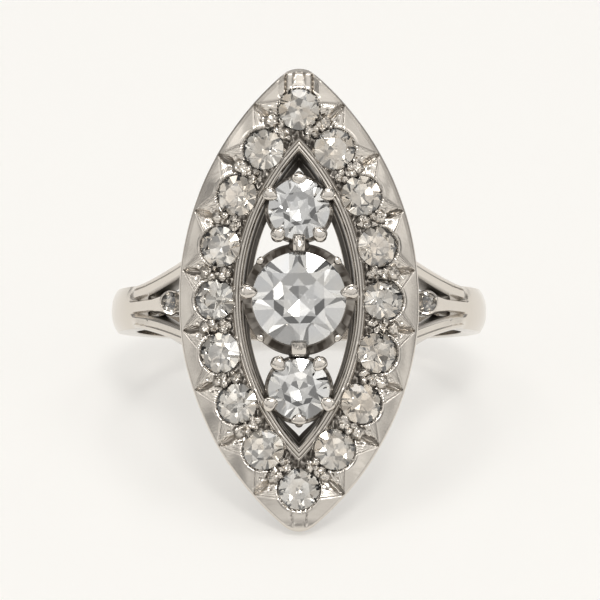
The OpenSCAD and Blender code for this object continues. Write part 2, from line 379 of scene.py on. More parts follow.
@dataclass(frozen=True)
class MetalFinish:
    """Polished white metal with fine wear, darker where grime and polish lie in the cuts and where shade
    is painted into its colour, in recesses, slits, holes and under beads and posts.

    Args:
        name: Name of the material.
        colour: Colour of the clean metal.
        shade: Colour of the darkened metal: grime in the cuts, and painted shade in recesses.
        roughness: Roughness where it is polished best.
        spread: How much rougher the worn patches are.
        worn_scale: Scale of those patches.
        scratch: Depth of the fine scratches, in metres.
        scratch_turn: Turn of the scratches, in radians.
        scratch_scale: How fine they are along each axis.
        dirt_roughness: How much rougher the darkest metal is.
        fan_pace: How close together the graver's lines are.
        fan_depth: Depth of those lines, in metres.
    """

    name: str
    colour: tuple[float, float, float] = (0.705, 0.66, 0.603)
    shade: tuple[float, float, float] = (0.055, 0.045, 0.036)
    roughness: float = 0.11
    spread: float = 0.12
    worn_scale: float = 420.0
    scratch: float = 0.000007
    scratch_turn: tuple[float, float, float] = (0.5, 0.3, 0.9)
    scratch_scale: tuple[float, float, float] = (900.0, 9000.0, 2500.0)
    dirt_roughness: float = 0.35
    fan_pace: float = 40.0
    fan_depth: float = 0.00001

    def material(self) -> Material:
        """Builds the node tree.

        Returns:
            The material.
        """
        made, wiring, shader = new_material(self.name)
        where = wiring.add("ShaderNodeTexCoord", "Object")
        # How dark the metal is: grime in the cuts and painted shade in recesses and under things.
        patina_and_shade = wiring.attribute("patina_and_shade")
        patches = {"Scale": self.worn_scale, "Detail": 5.0, "Vector": where}
        worn = wiring.add("ShaderNodeTexNoise", "Fac", patches)
        rough = wiring.remap(worn, (0.35, 0.75), (self.roughness, self.roughness + self.spread))
        shades = {"A": (*self.colour, 1.0), "B": (*self.shade, 1.0), "Factor": patina_and_shade}
        wiring.feed(shader, {
            "Specular IOR Level": 0.1,
            "Roughness": wiring.maths("MULTIPLY_ADD", patina_and_shade, self.dirt_roughness, rough),
            "Metallic": wiring.remap(patina_and_shade, (0.5, 1.0), (1.0, 0.15)),
            "Base Color": wiring.add("ShaderNodeMix", "Result", shades, data_type="RGBA"),
            "Normal": self.graver_lines(wiring, self.scratches(wiring, where)),
        })
        return made

    def scratches(self, wiring: Wiring, where: NodeSocket) -> NodeSocket:
        """Adds the fine scratches of polishing.

        Args:
            wiring: The material's wiring.
            where: Its coordinates.

        Returns:
            The socket with the scratched normal.
        """
        stretched = wiring.add("ShaderNodeMapping", "Vector", {
            "Rotation": self.scratch_turn, "Scale": self.scratch_scale, "Vector": where,
        })
        lines = wiring.add("ShaderNodeTexNoise", "Fac", {"Scale": 1.0, "Detail": 3.0, "Vector": stretched})
        relief = {"Strength": 0.5, "Distance": self.scratch, "Height": lines}
        return wiring.add("ShaderNodeBump", "Normal", relief)

    def graver_lines(self, wiring: Wiring, below: NodeSocket) -> NodeSocket:
        """Adds the lines that fan out in a graver's cut, where a piece has the attributes for them.

        Args:
            wiring: The material's wiring.
            below: The normal that they are laid on.

        Returns:
            The socket with the finished normal.
        """
        wave = wiring.maths("SINE", wiring.maths("MULTIPLY", wiring.attribute("fan"), self.fan_pace))
        height = wiring.maths("MULTIPLY", wave, wiring.attribute("fan_lines"))
        return wiring.add("ShaderNodeBump", "Normal", {
            "Strength": 1.0, "Distance": self.fan_depth, "Height": height, "Normal": below,
        })


@dataclass(frozen=True)
class DiamondFinish:
    """Clear cut diamond with faint warm and cool patches painted into its colour for the coloured light of
    its fire, as it shows in soft light.

    Args:
        name: Name of the material.
        cool: Colour of the cool patches.
        warm: Colour of the warm patches.
        patch: Patches in each metre.
    """

    name: str
    cool: tuple[float, float, float] = (0.82, 0.83, 0.84)
    warm: tuple[float, float, float] = (0.88, 0.865, 0.83)
    patch: float = 700.0

    def material(self) -> Material:
        """Builds the node tree.

        Returns:
            The material.
        """
        made, wiring, shader = new_material(self.name)
        where = wiring.add("ShaderNodeTexCoord", "Object")
        patches = {"Scale": self.patch, "Detail": 1.0, "Vector": where}
        cloud = wiring.add("ShaderNodeTexNoise", "Fac", patches)
        ramp = made.node_tree.nodes.new("ShaderNodeValToRGB")
        for element, place, colour in zip(ramp.color_ramp.elements, (0.4, 0.6), (self.cool, self.warm)):
            element.position = place
            element.color = (*colour, 1.0)
        wiring.feed(ramp, {"Fac": cloud})
        wiring.feed(shader, {
            "Transmission Weight": 1.0, "IOR": 2.42, "Roughness": 0.0, "Base Color": ramp.outputs["Color"],
        })
        return made


@dataclass(frozen=True)
class FloorFinish:
    """Plain pale card, lit partly from below.

    Args:
        name: Name of the material.
        colour: Colour of the card.
        glow: How much light comes through it from below, as in a light table.
        glow_colour: Colour of that light.
    """

    name: str
    colour: tuple[float, float, float] = (0.61, 0.602, 0.585)
    glow: float = 0.41
    glow_colour: tuple[float, float, float] = (1.0, 0.985, 0.955)

    def material(self) -> Material:
        """Builds the node tree.

        Returns:
            The material.
        """
        made, wiring, shader = new_material(self.name)
        wiring.feed(shader, {
            "Base Color": (*self.colour, 1.0), "Roughness": 0.9, "Specular IOR Level": 0.0,
            "Emission Color": (*self.glow_colour, 1.0), "Emission Strength": self.glow,
        })
        return made


class Finishes:
    """All materials, each made once."""

    def __init__(self) -> None:
        """Builds the materials."""
        self.metal = MetalFinish("white_metal").material()
        self.bright = MetalFinish("bright_metal", roughness=0.06, spread=0.08).material()
        self.diamond = DiamondFinish("diamond").material()
        old = DiamondFinish("old_diamond", (0.775, 0.755, 0.71), (0.71, 0.625, 0.52), 900.0)
        self.old_diamond = old.material()
        self.floor = FloorFinish("floor").material()


@dataclass(frozen=True)
class Arc:
    """Right side of a pointed oval: an arc about a centre on the other side of the middle line.

    Args:
        half_width: Half of the oval's width.
        half_length: Half of its length.
    """

    half_width: float
    half_length: float

    def radius(self) -> float:
        """Radius of the arc."""
        return (self.half_width**2 + self.half_length**2) / (2.0 * self.half_width)

    def offset(self) -> float:
        """How far its centre lies beyond the middle line."""
        return self.radius() - self.half_width

    def point(self, angle: np.ndarray, grow: float | np.ndarray = 0.0) -> np.ndarray:
        """X and Y at an angle from the widest place, with the arc grown outwards."""
        radius = self.radius() + grow
        return np.stack((radius * np.cos(angle) - self.offset(), radius * np.sin(angle)), -1)


@dataclass(frozen=True)
class Outline:
    """Head, opening and stones' path, seen from above.

    Args:
        head_length: Length of the head along the finger.
        head_width: Width of the head.
        tip_radius: Radius of its round tips.
        opening: The opening in its middle.
        path: Path of the border stones.
        stones: Number of border stones.
    """

    head_length: float = 23.45
    head_width: float = 12.28
    tip_radius: float = 1.2
    opening: Arc = Arc(2.95, 7.6)
    path: Arc = Arc(4.3, 9.6)
    stones: int = 16

    def tip_y(self) -> float:
        """Distance of the round tips' centres from the middle."""
        return self.head_length / 2 - self.tip_radius

    def flank_radius(self) -> float:
        """Radius of the head's long sides, which run smoothly into the tips."""
        half = self.head_width / 2
        return (half**2 + self.tip_y() ** 2 - self.tip_radius**2) / (self.head_width - 2 * self.tip_radius)

    def flank_offset(self) -> float:
        """How far a flank's centre lies beyond the middle line."""
        return self.flank_radius() - self.head_width / 2

    def flank_turn(self) -> float:
        """Angle at which a flank meets a tip."""
        return math.atan(self.tip_y() / self.flank_offset())

    def step_turn(self) -> float:
        """Angle between one border stone and the next, in radians."""
        return math.asin(self.path.half_length / self.path.radius()) * 4 / self.stones

    def path_point(self, step: np.ndarray) -> np.ndarray:
        """Points of the path on the right side.

        Args:
            step: Steps from the widest place, where the tip stones lie at plus and minus a quarter
                of the stones' number.

        Returns:
            X and Y of each point.
        """
        return self.path.point(np.asarray(step, float) * self.step_turn())

    def edge_point(self, run: np.ndarray) -> np.ndarray:
        """Points of the head's right edge.

        Args:
            run: Length along the edge from its widest place, towards the upper tip.

        Returns:
            X and Y of each point.
        """
        size, radius, turn = np.abs(run), self.flank_radius(), self.flank_turn()
        flank = np.minimum(size / radius, turn)
        on_flank = np.stack((radius * np.cos(flank) - self.flank_offset(), radius * np.sin(flank)), -1)
        tip = turn + np.maximum(size - radius * turn, 0.0) / self.tip_radius
        on_tip = np.stack(
            (self.tip_radius * np.cos(tip), self.tip_y() + self.tip_radius * np.sin(tip)), -1
        )
        point = np.where((size <= radius * turn)[..., None], on_flank, on_tip)
        return point * np.stack((np.ones_like(size), np.where(run < 0, -1.0, 1.0)), -1)

    def edge_run(self, step: np.ndarray) -> np.ndarray:
        """Length along the edge that belongs to a step of the path.

        Along the sides it is where the path's normal meets the edge; the last half step before
        a tip stone covers the rest of the edge up to the tip.

        Args:
            step: Steps from the widest place.

        Returns:
            The lengths, negative below the middle.
        """
        quarter = self.stones / 4
        last_gap = quarter - 0.5
        radius, turn = self.flank_radius(), self.flank_turn()

        def crossing(part: np.ndarray) -> np.ndarray:
            """Length at which the path's normal at that step meets the flank."""
            angle = part * self.step_turn()
            shift = self.flank_offset() - self.path.offset()
            reach = -shift * np.cos(angle) + np.sqrt(radius**2 - (shift * np.sin(angle)) ** 2)
            return radius * np.arcsin(reach * np.sin(angle) / radius)

        size = np.abs(np.asarray(step, float))
        near = crossing(np.minimum(size, last_gap))
        whole = radius * turn + self.tip_radius * (math.pi / 2 - turn)
        share = np.clip((size - last_gap) / (quarter - last_gap), 0.0, 1.0)
        return np.sign(step) * (near + (whole - near) * share)

    def open_point(self, share: np.ndarray, grow: float | np.ndarray = 0.0) -> np.ndarray:
        """Points of the opening's right side.

        Args:
            share: From -1 at the lower point to 1 at the upper one.
            grow: How far the opening is grown outwards.

        Returns:
            X and Y of each point.
        """
        end = np.arccos(self.opening.offset() / (self.opening.radius() + grow))
        return self.opening.point(np.asarray(share, float) * end, grow)

    def open_distance(self, x: np.ndarray, y: np.ndarray) -> np.ndarray:
        """Distance outwards from the opening's edge."""
        return np.hypot(np.abs(x) + self.opening.offset(), y) - self.opening.radius()

    def edge_distance(self, x: np.ndarray, y: np.ndarray) -> np.ndarray:
        """Distance inwards from the head's edge."""
        beside, along = np.abs(x) + self.flank_offset(), np.abs(y)
        flank = self.flank_radius() - np.hypot(beside, along)
        tip = self.tip_radius - np.hypot(np.abs(x), along - self.tip_y())
        return np.where(np.arctan2(along, beside) <= self.flank_turn(), flank, tip)

    def stone_places(self) -> np.ndarray:
        """X and Y of the border stones, clockwise from the upper tip."""
        quarter = self.stones // 4
        right = self.path_point(np.arange(quarter, -quarter - 1, -1))
        return np.concatenate((right, right[-2:0:-1] * [-1.0, 1.0]))

    def gap_places(self) -> np.ndarray:
        """X, Y and the outward direction's X and Y of the places between the stones."""
        quarter = self.stones // 4
        steps = np.arange(-quarter + 0.5, quarter)
        x, y = self.path_point(steps).T
        angle = steps * self.step_turn()
        right = np.column_stack((x, y, np.cos(angle), np.sin(angle)))
        return np.concatenate((right, right * [-1.0, 1.0, -1.0, 1.0]))


@dataclass(frozen=True)
class Dome:
    """The head's face, curved across the finger.

    Args:
        crest: Height of the crest above the finger's axis.
        radius: Radius of the dome.
        thickness: Thickness of the plate under it.
    """

    crest: float = 12.4
    radius: float = 13.8
    thickness: float = 1.1

    def unroll(self, x: np.ndarray) -> np.ndarray:
        """Distance from the crest line along the dome."""
        return self.radius * np.arcsin(x / self.radius)

    def raise_point(self, run: np.ndarray, y: np.ndarray, height: np.ndarray) -> np.ndarray:
        """Points at a height above the dome.

        Args:
            run: Distance from the crest line along the dome.
            y: Distance along the finger.
            height: Height above the dome, negative below it.

        Returns:
            X, Y and Z of each point.
        """
        angle = run / self.radius
        reach = self.radius + height
        middle = self.crest - self.radius
        return np.stack((reach * np.sin(angle), y + 0.0 * run, middle + reach * np.cos(angle)), -1)

    def under(self, x: np.ndarray) -> np.ndarray:
        """Height of the plate's underside at x."""
        return self.crest - self.radius + np.sqrt((self.radius - self.thickness) ** 2 - x**2)

    def normal(self, x: float) -> tuple[float, float]:
        """X and Z of the direction that points away from the dome at x."""
        return x / self.radius, math.sqrt(1.0 - (x / self.radius) ** 2)


@dataclass
class Head:
    """Domed plate with its seats, graver's cuts, rim and the wall around its opening.

    Args:
        outline: Shapes seen from above.
        dome: The curve across the finger.
        stone_diameter: Diameter of the border stones.
        seat_clearance: Gap between a stone and the wall of its seat.
        girdle_depth: Depth of the stones' girdles below the dome.
        back_radius: Radius of the open backs under the stones.
        cut_reach: Distance between the head's edge and the point of a graver's cut.
        cut_width: Half width of a cut where it passes the stones.
        cut_depth: Depth of a cut beside its outer grain.
        leaf_width: Half width of the deeper leaf along the middle of a cut.
        channel_depth: Depth of the metal between two stones.
        rim_places: Distances from the opening's edge at which the engraved rim turns.
        rim_heights: Its height there.
        rim_shades: How dark it is there: grime and painted shade in its grooves.
        edge_drop: Depth and width of the head's rounded edge.
        edge_inset: How far the head's lower edge lies inside its upper one.
        tip_limit: Height at the middle and fall per millimetre of the planes that bound the upper
            tip, then of those that bound the lower one.
        bow: How much lower the face lies at the tips than in the middle.
        panel_width: Half width of the panel at the upper tip.
        wall_depth: Depth of the wall around the opening.
        wall_taper: How far that wall closes in over its depth.
        lower_room: How much less it closes in along the lower half.
        wall_thickness: Thickness of that wall.
        columns: Columns of the face's grid.
        seed: Fixes the waves of the hand polish.
    """

    outline: Outline = field(default_factory=Outline)
    dome: Dome = field(default_factory=Dome)
    stone_diameter: float = 2.05
    seat_clearance: float = 0.015
    girdle_depth: float = 0.14
    back_radius: float = 0.5
    cut_reach: float = 0.06
    cut_width: float = 1.0
    cut_depth: float = 0.28
    leaf_width: float = 0.2
    channel_depth: float = 0.24
    rim_places: tuple[float, ...] = (0.0, 0.03, 0.09, 0.13, 0.17, 0.2, 0.25, 0.29, 0.33, 0.36, 0.4, 0.44)
    rim_heights: tuple[float, ...] = (
        -0.05, 0.02, 0.01, -0.05, 0.03, 0.04, 0.0, -0.05, 0.02, 0.01, -0.06, 0.0)
    rim_shades: tuple[float, ...] = (0.3, 0.05, 0.2, 0.75, 0.1, 0.1, 0.3, 0.7, 0.15, 0.3, 0.7, 0.3)
    edge_drop: float = 0.1
    edge_inset: float = 0.06
    tip_limit: tuple[float, ...] = (34.69, 1.9557, 18.17, 0.5113)
    bow: float = 0.1
    panel_width: float = 0.66
    wall_depth: float = 2.7
    wall_taper: float = 0.5
    lower_room: float = 0.16
    wall_thickness: float = 0.5
    columns: int = 940
    seed: int = 5

    def column_shares(self, columns: int) -> np.ndarray:
        """Places along the path for the right side's columns, evenly spaced on the head.

        Args:
            columns: Number of columns around the opening, an even number.

        Returns:
            Shares of the path, from -1 at the lower tip to 1 at the upper one.
        """
        quarter = self.outline.stones / 4
        fine = np.linspace(-quarter, quarter, 4001)
        middle = self.outline.path_point(fine) + self.outline.edge_point(self.outline.edge_run(fine))
        length = np.concatenate(([0.0], np.cumsum(np.hypot(*np.diff(middle, axis=0).T))))
        return np.interp(np.linspace(0.0, length[-1], columns // 2 + 1), length, fine) / quarter

    def plan(self, columns: int, inner: np.ndarray, outer: np.ndarray, grow: float) -> np.ndarray:
        """Grid of the head seen from above, closed around the opening.

        Args:
            columns: As in column_shares.
            inner: Shares of the way from the opening to the stones' path.
            outer: Shares of the way from that path to the head's edge.
            grow: How far outside the opening the grid starts.

        Returns:
            X and Y for each row and column.
        """
        shares = self.column_shares(columns)
        steps = shares * self.outline.stones / 4
        start = self.outline.open_point(shares, grow)
        path = self.outline.path_point(steps)
        end = self.outline.edge_point(self.outline.edge_run(steps))
        rows = [start + (path - start) * share for share in inner]
        rows += [path + (end - path) * share for share in outer]
        return both_sides(np.array(rows))

    def punch(self, run: np.ndarray, y: np.ndarray, radius: float) -> tuple:
        """Opens round holes under the stones in a grid.

        Args:
            run: Distance of each grid point from the crest line along the dome; changed in place.
            y: Distance along the finger; changed in place.
            radius: Radius of the holes.

        Returns:
            A mask of the cells that stay.
        """
        away, *middles = self.nearest_stone(run, y)
        inside = away < radius
        corners = inside[:-1] & inside[1:]
        keep = ~(corners & np.roll(corners, -1, axis=1))
        used = np.zeros(run.shape, bool)
        for di in (0, 1):
            for dj in (0, 1):
                used[di:run.shape[0] - 1 + di] |= np.roll(keep, dj, axis=1)
        moved = inside & used
        scale = radius / np.maximum(away[moved], 1e-6)
        for place, middle in zip((run, y), middles):
            place[moved] = middle[moved] + (place[moved] - middle[moved]) * scale
        return keep

    def nearest_stone(self, run: np.ndarray, y: np.ndarray) -> tuple:
        """Distance to the nearest border stone's middle, with that middle's place.

        Args:
            run: Distances from the crest line along the dome.
            y: Distances along the finger.

        Returns:
            Distance, and the run and Y of that stone.
        """
        x, along = self.outline.stone_places().T
        middle = self.dome.unroll(x)
        apart = np.stack([np.hypot(run - a, y - b) for a, b in zip(middle, along)])
        number = apart.argmin(0)
        return apart.min(0), middle[number], along[number]

    def gap_frames(self, run: np.ndarray, y: np.ndarray) -> tuple:
        """Coordinates in the frame of the nearest place between two stones.

        Args:
            run: Distances from the crest line along the dome.
            y: Distances along the finger.

        Returns:
            Distance outwards from the path, distance sideways, the reach of the cut's point, and
            the number of the gap.
        """
        best = np.full(run.shape, np.inf)
        found = np.zeros((4, *run.shape))
        for number, (x, along, nx, ny) in enumerate(self.outline.gap_places()):
            dx, dy = run - self.dome.unroll(x), y - along
            out = dx * nx + dy * ny
            aside = dy * nx - dx * ny
            reach = self.edge_reach(x, along, nx, ny) - self.cut_reach
            size = np.abs(aside) + 0.15 * np.abs(out - 0.6)
            nearer = (size < best) & (run * np.sign(x) > -0.4)
            best[nearer] = size[nearer]
            for values, value in zip(found, np.broadcast_arrays(out, aside, reach, number)):
                values[nearer] = value[nearer]
        return *found[:3], found[3].astype(int)

    def edge_reach(self, x: float, y: float, nx: float, ny: float) -> float:
        """Distance from a place on the path to the head's edge in a direction."""
        reach = np.linspace(0.5, 3.0, 501)
        apart = self.outline.edge_distance(x + reach * nx, y + reach * ny)
        return float(reach[np.argmin(np.abs(apart))])

    def relief(self, run: np.ndarray, y: np.ndarray) -> tuple:
        """Height of the worked face over the plain dome.

        Args:
            run: Distances from the crest line along the dome.
            y: Distances along the finger.

        Returns:
            Heights, negative below the dome; how dark the metal is from grime and painted shade, from 0 to
            1;
            the place across a cut, from -1 to 1; and how strong the graver's lines are there.
        """
        x = self.dome.radius * np.sin(run / self.dome.radius)
        stone_r = self.stone_diameter / 2
        away = self.nearest_stone(run, y)[0]
        rim = self.outline.open_distance(x, y)
        height = np.interp(rim, self.rim_places, self.rim_heights, right=0.0)
        dark = np.interp(rim, self.rim_places, self.rim_shades, right=0.0)

        cut, cut_dark, fan, lines, channel = self.cuts(run, y)
        height = np.where(rim < self.rim_places[-1], height, cut)
        dark = np.where(rim < self.rim_places[-1], dark, cut_dark)
        panel, panel_dark = self.panels(run, y)
        height = np.minimum(height, panel)
        dark = np.maximum(dark, panel_dark)

        # Seats: a thin groove darkened in patches as painted shade, a bright wall down to the girdle and a
        # cone below it, darkened as painted shade under the stone
        seat = stone_r + self.seat_clearance
        line_at, lip_at = seat + 0.045, seat + 0.12
        line_depth, lip_height, girdle_room, cone_slope = 0.05, 0.02, 0.1, 0.88
        line = ridge(away - line_at, 0.03) * (1.0 - channel)
        patchy = smoothstep(self.waves(run, y, (0.8, 2.4), 1.0, 9), -0.5, 0.5)
        lip = ridge(away - lip_at, 0.04) * (1.0 - channel)
        height = height - line_depth * line + lip_height * lip
        cone = -self.girdle_depth - girdle_room - np.clip(stone_r - away, 0.0, None) * cone_slope
        height = np.where(away < seat, np.minimum(height, cone), height)
        dark = np.maximum(dark, (0.2 + 0.6 * patchy) * line)
        dark = np.where(away < seat, np.where(away > stone_r - 0.03, 0.05, 0.3), dark)

        # Hand finishing, the slight bow along the finger, and the rounded outer edge, with a patchy strip
        # of painted shade along that edge on the upper half
        height += self.unevenness(run, y) - self.bow * (y / self.outline.tip_y()) ** 2
        edge = self.outline.edge_distance(x, y)
        strip = smoothstep(0.3 - edge, 0.0, 0.06) * smoothstep(y, 1.0, 5.0)
        dark = np.maximum(dark, (0.22 + 0.12 * patchy) * strip)
        height -= self.edge_drop * np.clip(1.0 - edge / self.edge_drop, 0.0, 1.0) ** 1.6
        upper, upper_fall, lower, lower_fall = self.tip_limit
        room = np.minimum(upper - upper_fall * y, lower - lower_fall * -y)
        room -= self.dome.raise_point(run, y, 0.0)[..., 2]
        soft = np.where(y > 0, 0.12, 0.25)
        blend = np.clip(0.5 + 0.5 * (height - room) / soft, 0.0, 1.0)
        height = height * (1.0 - blend) + room * blend - soft * blend * (1.0 - blend)
        return height, np.clip(dark, 0.0, 1.0), fan, lines

    def cuts(self, run: np.ndarray, y: np.ndarray) -> tuple:
        """Graver's cuts beside the stones and the channels between them.

        Each cut has two facets that meet at a point near the head's edge, a leaf between them with
        fanned lines, and two small nicks. No two are alike.

        Args:
            run: Distances from the crest line along the dome.
            y: Distances along the finger.

        Returns:
            Heights; how dark the metal is; the place across a cut, from -1 to 1; the strength of
            the graver's lines; and how far a point belongs to a channel, from 0 to 1.
        """
        pillow_height, border_depth, border_width, nick_depth = 0.07, 0.03, 0.035, 0.08
        nick_side, nick_out, nick_size = 0.36, 0.98, 0.06
        leaf_step, leaf_depth = 0.05, 0.16
        out, aside, point, number = self.gap_frames(run, y)
        chance = np.random.default_rng(self.seed)
        spread = chance.uniform(0.88, 1.12, (2, self.outline.stones))
        tilt = chance.uniform(-0.05, 0.05, self.outline.stones)[number]
        deepness = chance.uniform(0.8, 1.15, (2, self.outline.stones))
        other = (aside > 0).astype(int)
        left = np.clip(point - out, 0.0, None)
        side = np.abs(aside)
        width = np.maximum(self.cut_width * spread[other, number] * left / (point - 0.95), 1e-4)
        across = np.clip(side / width, 0.0, 1.0)
        deep = self.cut_depth * deepness[other, number] * np.clip(left / (point - 0.5), 0.0, 1.0) ** 0.9
        pillow = pillow_height * np.sin(math.pi * across) ** 2 * np.clip(left / 0.6, 0.0, 1.0)
        in_cut = (out > 0.0) & (left > 0.0) & (side < width)
        height = np.where(in_cut, -deep * (1.0 - across) + pillow * 0.6, 0.0)
        border = ridge(side - width, border_width) * (out > 0.3) * smoothstep(left, 0.0, 0.2)
        height -= border_depth * border

        leaf = self.leaf_width * np.sin(math.pi * np.clip(left / (point - 0.62), 0.0, 1.0) ** 0.75)
        leaf = np.maximum(leaf, 1e-4)
        from_leaf = np.abs(aside - tilt * left)
        in_leaf = in_cut & (from_leaf < leaf)
        height += np.where(in_leaf, -leaf_step - leaf_depth * (1.0 - from_leaf / leaf), 0.0)
        nick = ridge(np.hypot(side - nick_side, out - nick_out), nick_size) * in_cut
        height -= nick_depth * nick

        # Channel between two stones, where the grains stand, with a scraped floor on the rim's side
        channel = smoothstep(0.5 - out, 0.0, 0.16) * smoothstep(0.64 - side, 0.0, 0.12)
        rough = self.waves(run, y, (0.17, 0.4), 0.055, 22)
        height = np.minimum(height, -self.channel_depth * channel) * channel + height * (1.0 - channel)
        height += rough * np.maximum(channel, 0.5 * (out < 0.72) * in_cut)

        # Darkening: grime and painted shade on the channel floor and in the deepest places; painted shade
        # in the nicks, along the borders and on one half of each leaf, darker at the leaf's edges.
        dark = channel * (0.45 + 0.5 * smoothstep(-rough, -0.03, 0.05))
        dark = np.maximum(dark, 0.4 * smoothstep(-height, 0.25, 0.5) * (out < 0.9))
        dark = np.maximum(dark, 0.8 * nick)
        dark = np.maximum(dark, 0.45 * border)
        leaf_dark = chance.uniform(0.15, 0.8, self.outline.stones)[number] * (aside > tilt * left)
        leaf_dark = leaf_dark + 0.3 * smoothstep(from_leaf / leaf, 0.75, 1.0)
        dark = np.maximum(dark, np.where(in_leaf, leaf_dark, 0.0))
        fan = np.where(in_cut, aside / width, 0.0)
        lines = in_cut * smoothstep(left, 0.05, 0.3) * np.where(in_leaf, 1.0, 0.5)
        return height, dark, fan, lines, channel

    def panels(self, run: np.ndarray, y: np.ndarray) -> tuple[np.ndarray, np.ndarray]:
        """Two engraved lines at each tip, at the upper one with a ramp between and facets beyond.

        Args:
            run: Distances from the crest line along the dome.
            y: Distances along the finger.

        Returns:
            Heights, 0 away from the tips, and how dark the metal is.
        """
        ramp_half, ramp_depth, ramp_edge, ramp_end = 0.36, 0.24, 0.04, 1.98
        facet_width, facet_depth = 0.42, 0.2
        line_width, upper_depth, lower_depth, lower_half = 0.035, 0.08, 0.05, 0.44
        line_dark, beside_dark, dark_end = 0.45, 0.25, 1.75
        beyond = np.abs(y) - self.outline.path.half_length
        upper = y > 0
        start = self.stone_diameter / 2
        share = np.clip((beyond - start) / (ramp_end - start), 0.0, 1.0)
        middle = np.abs(run)
        at_tip = smoothstep(beyond, 0.6, 0.8)
        inside = ramp_half * (1.0 - 0.3 * share) - middle
        ramp = ramp_depth * np.minimum(share, 6.0 * (1.0 - share))
        ramp = ramp * smoothstep(inside, -ramp_edge, ramp_edge) * upper
        line_at = np.where(upper, self.panel_width, lower_half - 0.12 * share)
        line = ridge(middle - line_at, line_width) * at_tip * (upper | (share > 0.1))
        facet = facet_depth * np.clip(1.0 - (middle - line_at) / facet_width, 0.0, 1.0)
        facet = facet * ((middle > line_at) & upper)
        cut = line * np.where(upper, upper_depth, lower_depth)
        # Painted shade on the upper tip's left side, between the ramp and the engraved line; the engraved
        # lines are darkened with grime and painted shade.
        beside = smoothstep(inside, 0.02, -0.08) * (upper & (middle < line_at) & (run < 0)) * at_tip
        dark = np.maximum(line_dark * line, beside_dark * beside) * (beyond < dark_end)
        return -(ramp + facet) * at_tip - cut, dark

    def waves(
        self, run: np.ndarray, y: np.ndarray, lengths: tuple[float, float], size: float, count: int
    ) -> np.ndarray:
        """Sum of waves in random directions.

        Args:
            run: Distances from the crest line along the dome.
            y: Distances along the finger.
            lengths: Shortest and longest wave.
            size: Height of the sum, roughly.
            count: Number of waves.

        Returns:
            Heights.
        """
        chance = np.random.default_rng(self.seed)
        height = np.zeros(run.shape)
        for _ in range(count):
            length, angle = chance.uniform(*lengths), chance.uniform(0.0, math.pi)
            start = chance.uniform(0.0, 6.3)
            along = run * math.cos(angle) + y * math.sin(angle)
            height += np.sin(2.0 * math.pi * along / length + start)
        return height * size / math.sqrt(count)

    def unevenness(self, run: np.ndarray, y: np.ndarray) -> np.ndarray:
        """Slight waves that hand polishing leaves in the face."""
        return self.waves(run, y, (0.9, 2.6), 0.007, 14) + self.waves(y, run, (3.0, 7.0), 0.02, 5)

    def snap_to_seats(self, run: np.ndarray, y: np.ndarray) -> None:
        """Moves the grid points beside a seat's wall onto two clean circles, in place."""
        seat = self.stone_diameter / 2 + self.seat_clearance
        reach = 0.024
        away, *middles = self.nearest_stone(run, y)
        for target, near in ((seat - reach / 2, away < seat), (seat + reach / 2, away >= seat)):
            close = near & (np.abs(away - seat) < reach)
            scale = target / away[close]
            for place, middle in zip((run, y), middles):
                place[close] = middle[close] + (place[close] - middle[close]) * scale

    def wall_rows(self) -> list[tuple[float, float, float]]:
        """Rows of the wall inside the opening.

        Returns:
            Depth, growth of the opening there and how dark it is, painted shade on the wall, from the foot
            up to the rim.
        """
        slope = self.wall_taper / self.wall_depth
        seam = 1.05
        ledge = 0.05
        # The wall is darkened as painted shade, less near the rim, at the ledge and at the foot.
        rows = [
            (self.wall_depth, 0.0, 0.25),
            (self.wall_depth - 0.12, 0.0, 0.25),
            (self.wall_depth - 0.2, 0.0, 0.9),
            (seam + 0.1, 0.0, 0.97),
            (seam + 0.06, -ledge, 0.4),
            (seam, -ledge, 0.4),
            (seam - 0.04, 0.0, 0.97),
            (0.5, 0.0, 0.93),
            (0.3, -0.06, 0.72),
            (0.18, -0.07, 0.45),
            (0.06, -0.03, 0.15),
        ]
        return [(depth, shift - depth * slope, dark) for depth, shift, dark in rows]

    def foot_room(self, shares: np.ndarray) -> np.ndarray:
        """How much further out the wall's foot lies in the lower half, by share from -1 to 1."""
        return self.lower_room * smoothstep(-shares, 0.0, 0.25) * smoothstep(1.0 + shares, 0.0, 0.2)

    def face(self, material: Material) -> Object:
        """Builds the worked face with the opening's wall and the outer edge.

        Args:
            material: The metal.

        Returns:
            The piece.
        """
        rim_share = 0.34
        rim_rows = np.linspace(0.0, rim_share, 18, endpoint=False)
        inner = np.concatenate((rim_rows, np.linspace(rim_share, 1.0, 20, endpoint=False)))
        outer = 1.0 - (1.0 - np.linspace(0.0, 1.0, 45)) ** 1.25
        plan = self.plan(self.columns, inner, outer, 0.0)
        run, y = self.dome.unroll(plan[..., 0]), plan[..., 1].copy()
        keep = self.punch(run, y, self.back_radius)
        self.snap_to_seats(run, y)
        height, dark, fan, lines = self.relief(run, y)
        top = self.dome.raise_point(run, y, height)
        columns = top.shape[1]

        shares = self.column_shares(self.columns)
        wall, shades = [], []
        for depth, grow, shade in self.wall_rows():
            share = depth / self.wall_depth
            ring = both_sides(self.outline.open_point(shares, grow + self.foot_room(shares) * share))
            level = self.dome.raise_point(self.dome.unroll(top[0, :, 0]), ring[:, 1], 0.0)[:, 2]
            foot = self.dome.crest - self.wall_depth
            z = (level - depth) * (1.0 - share) + foot * share
            wall.append(np.column_stack((ring, z)))
            shades.append(np.full(columns, shade))

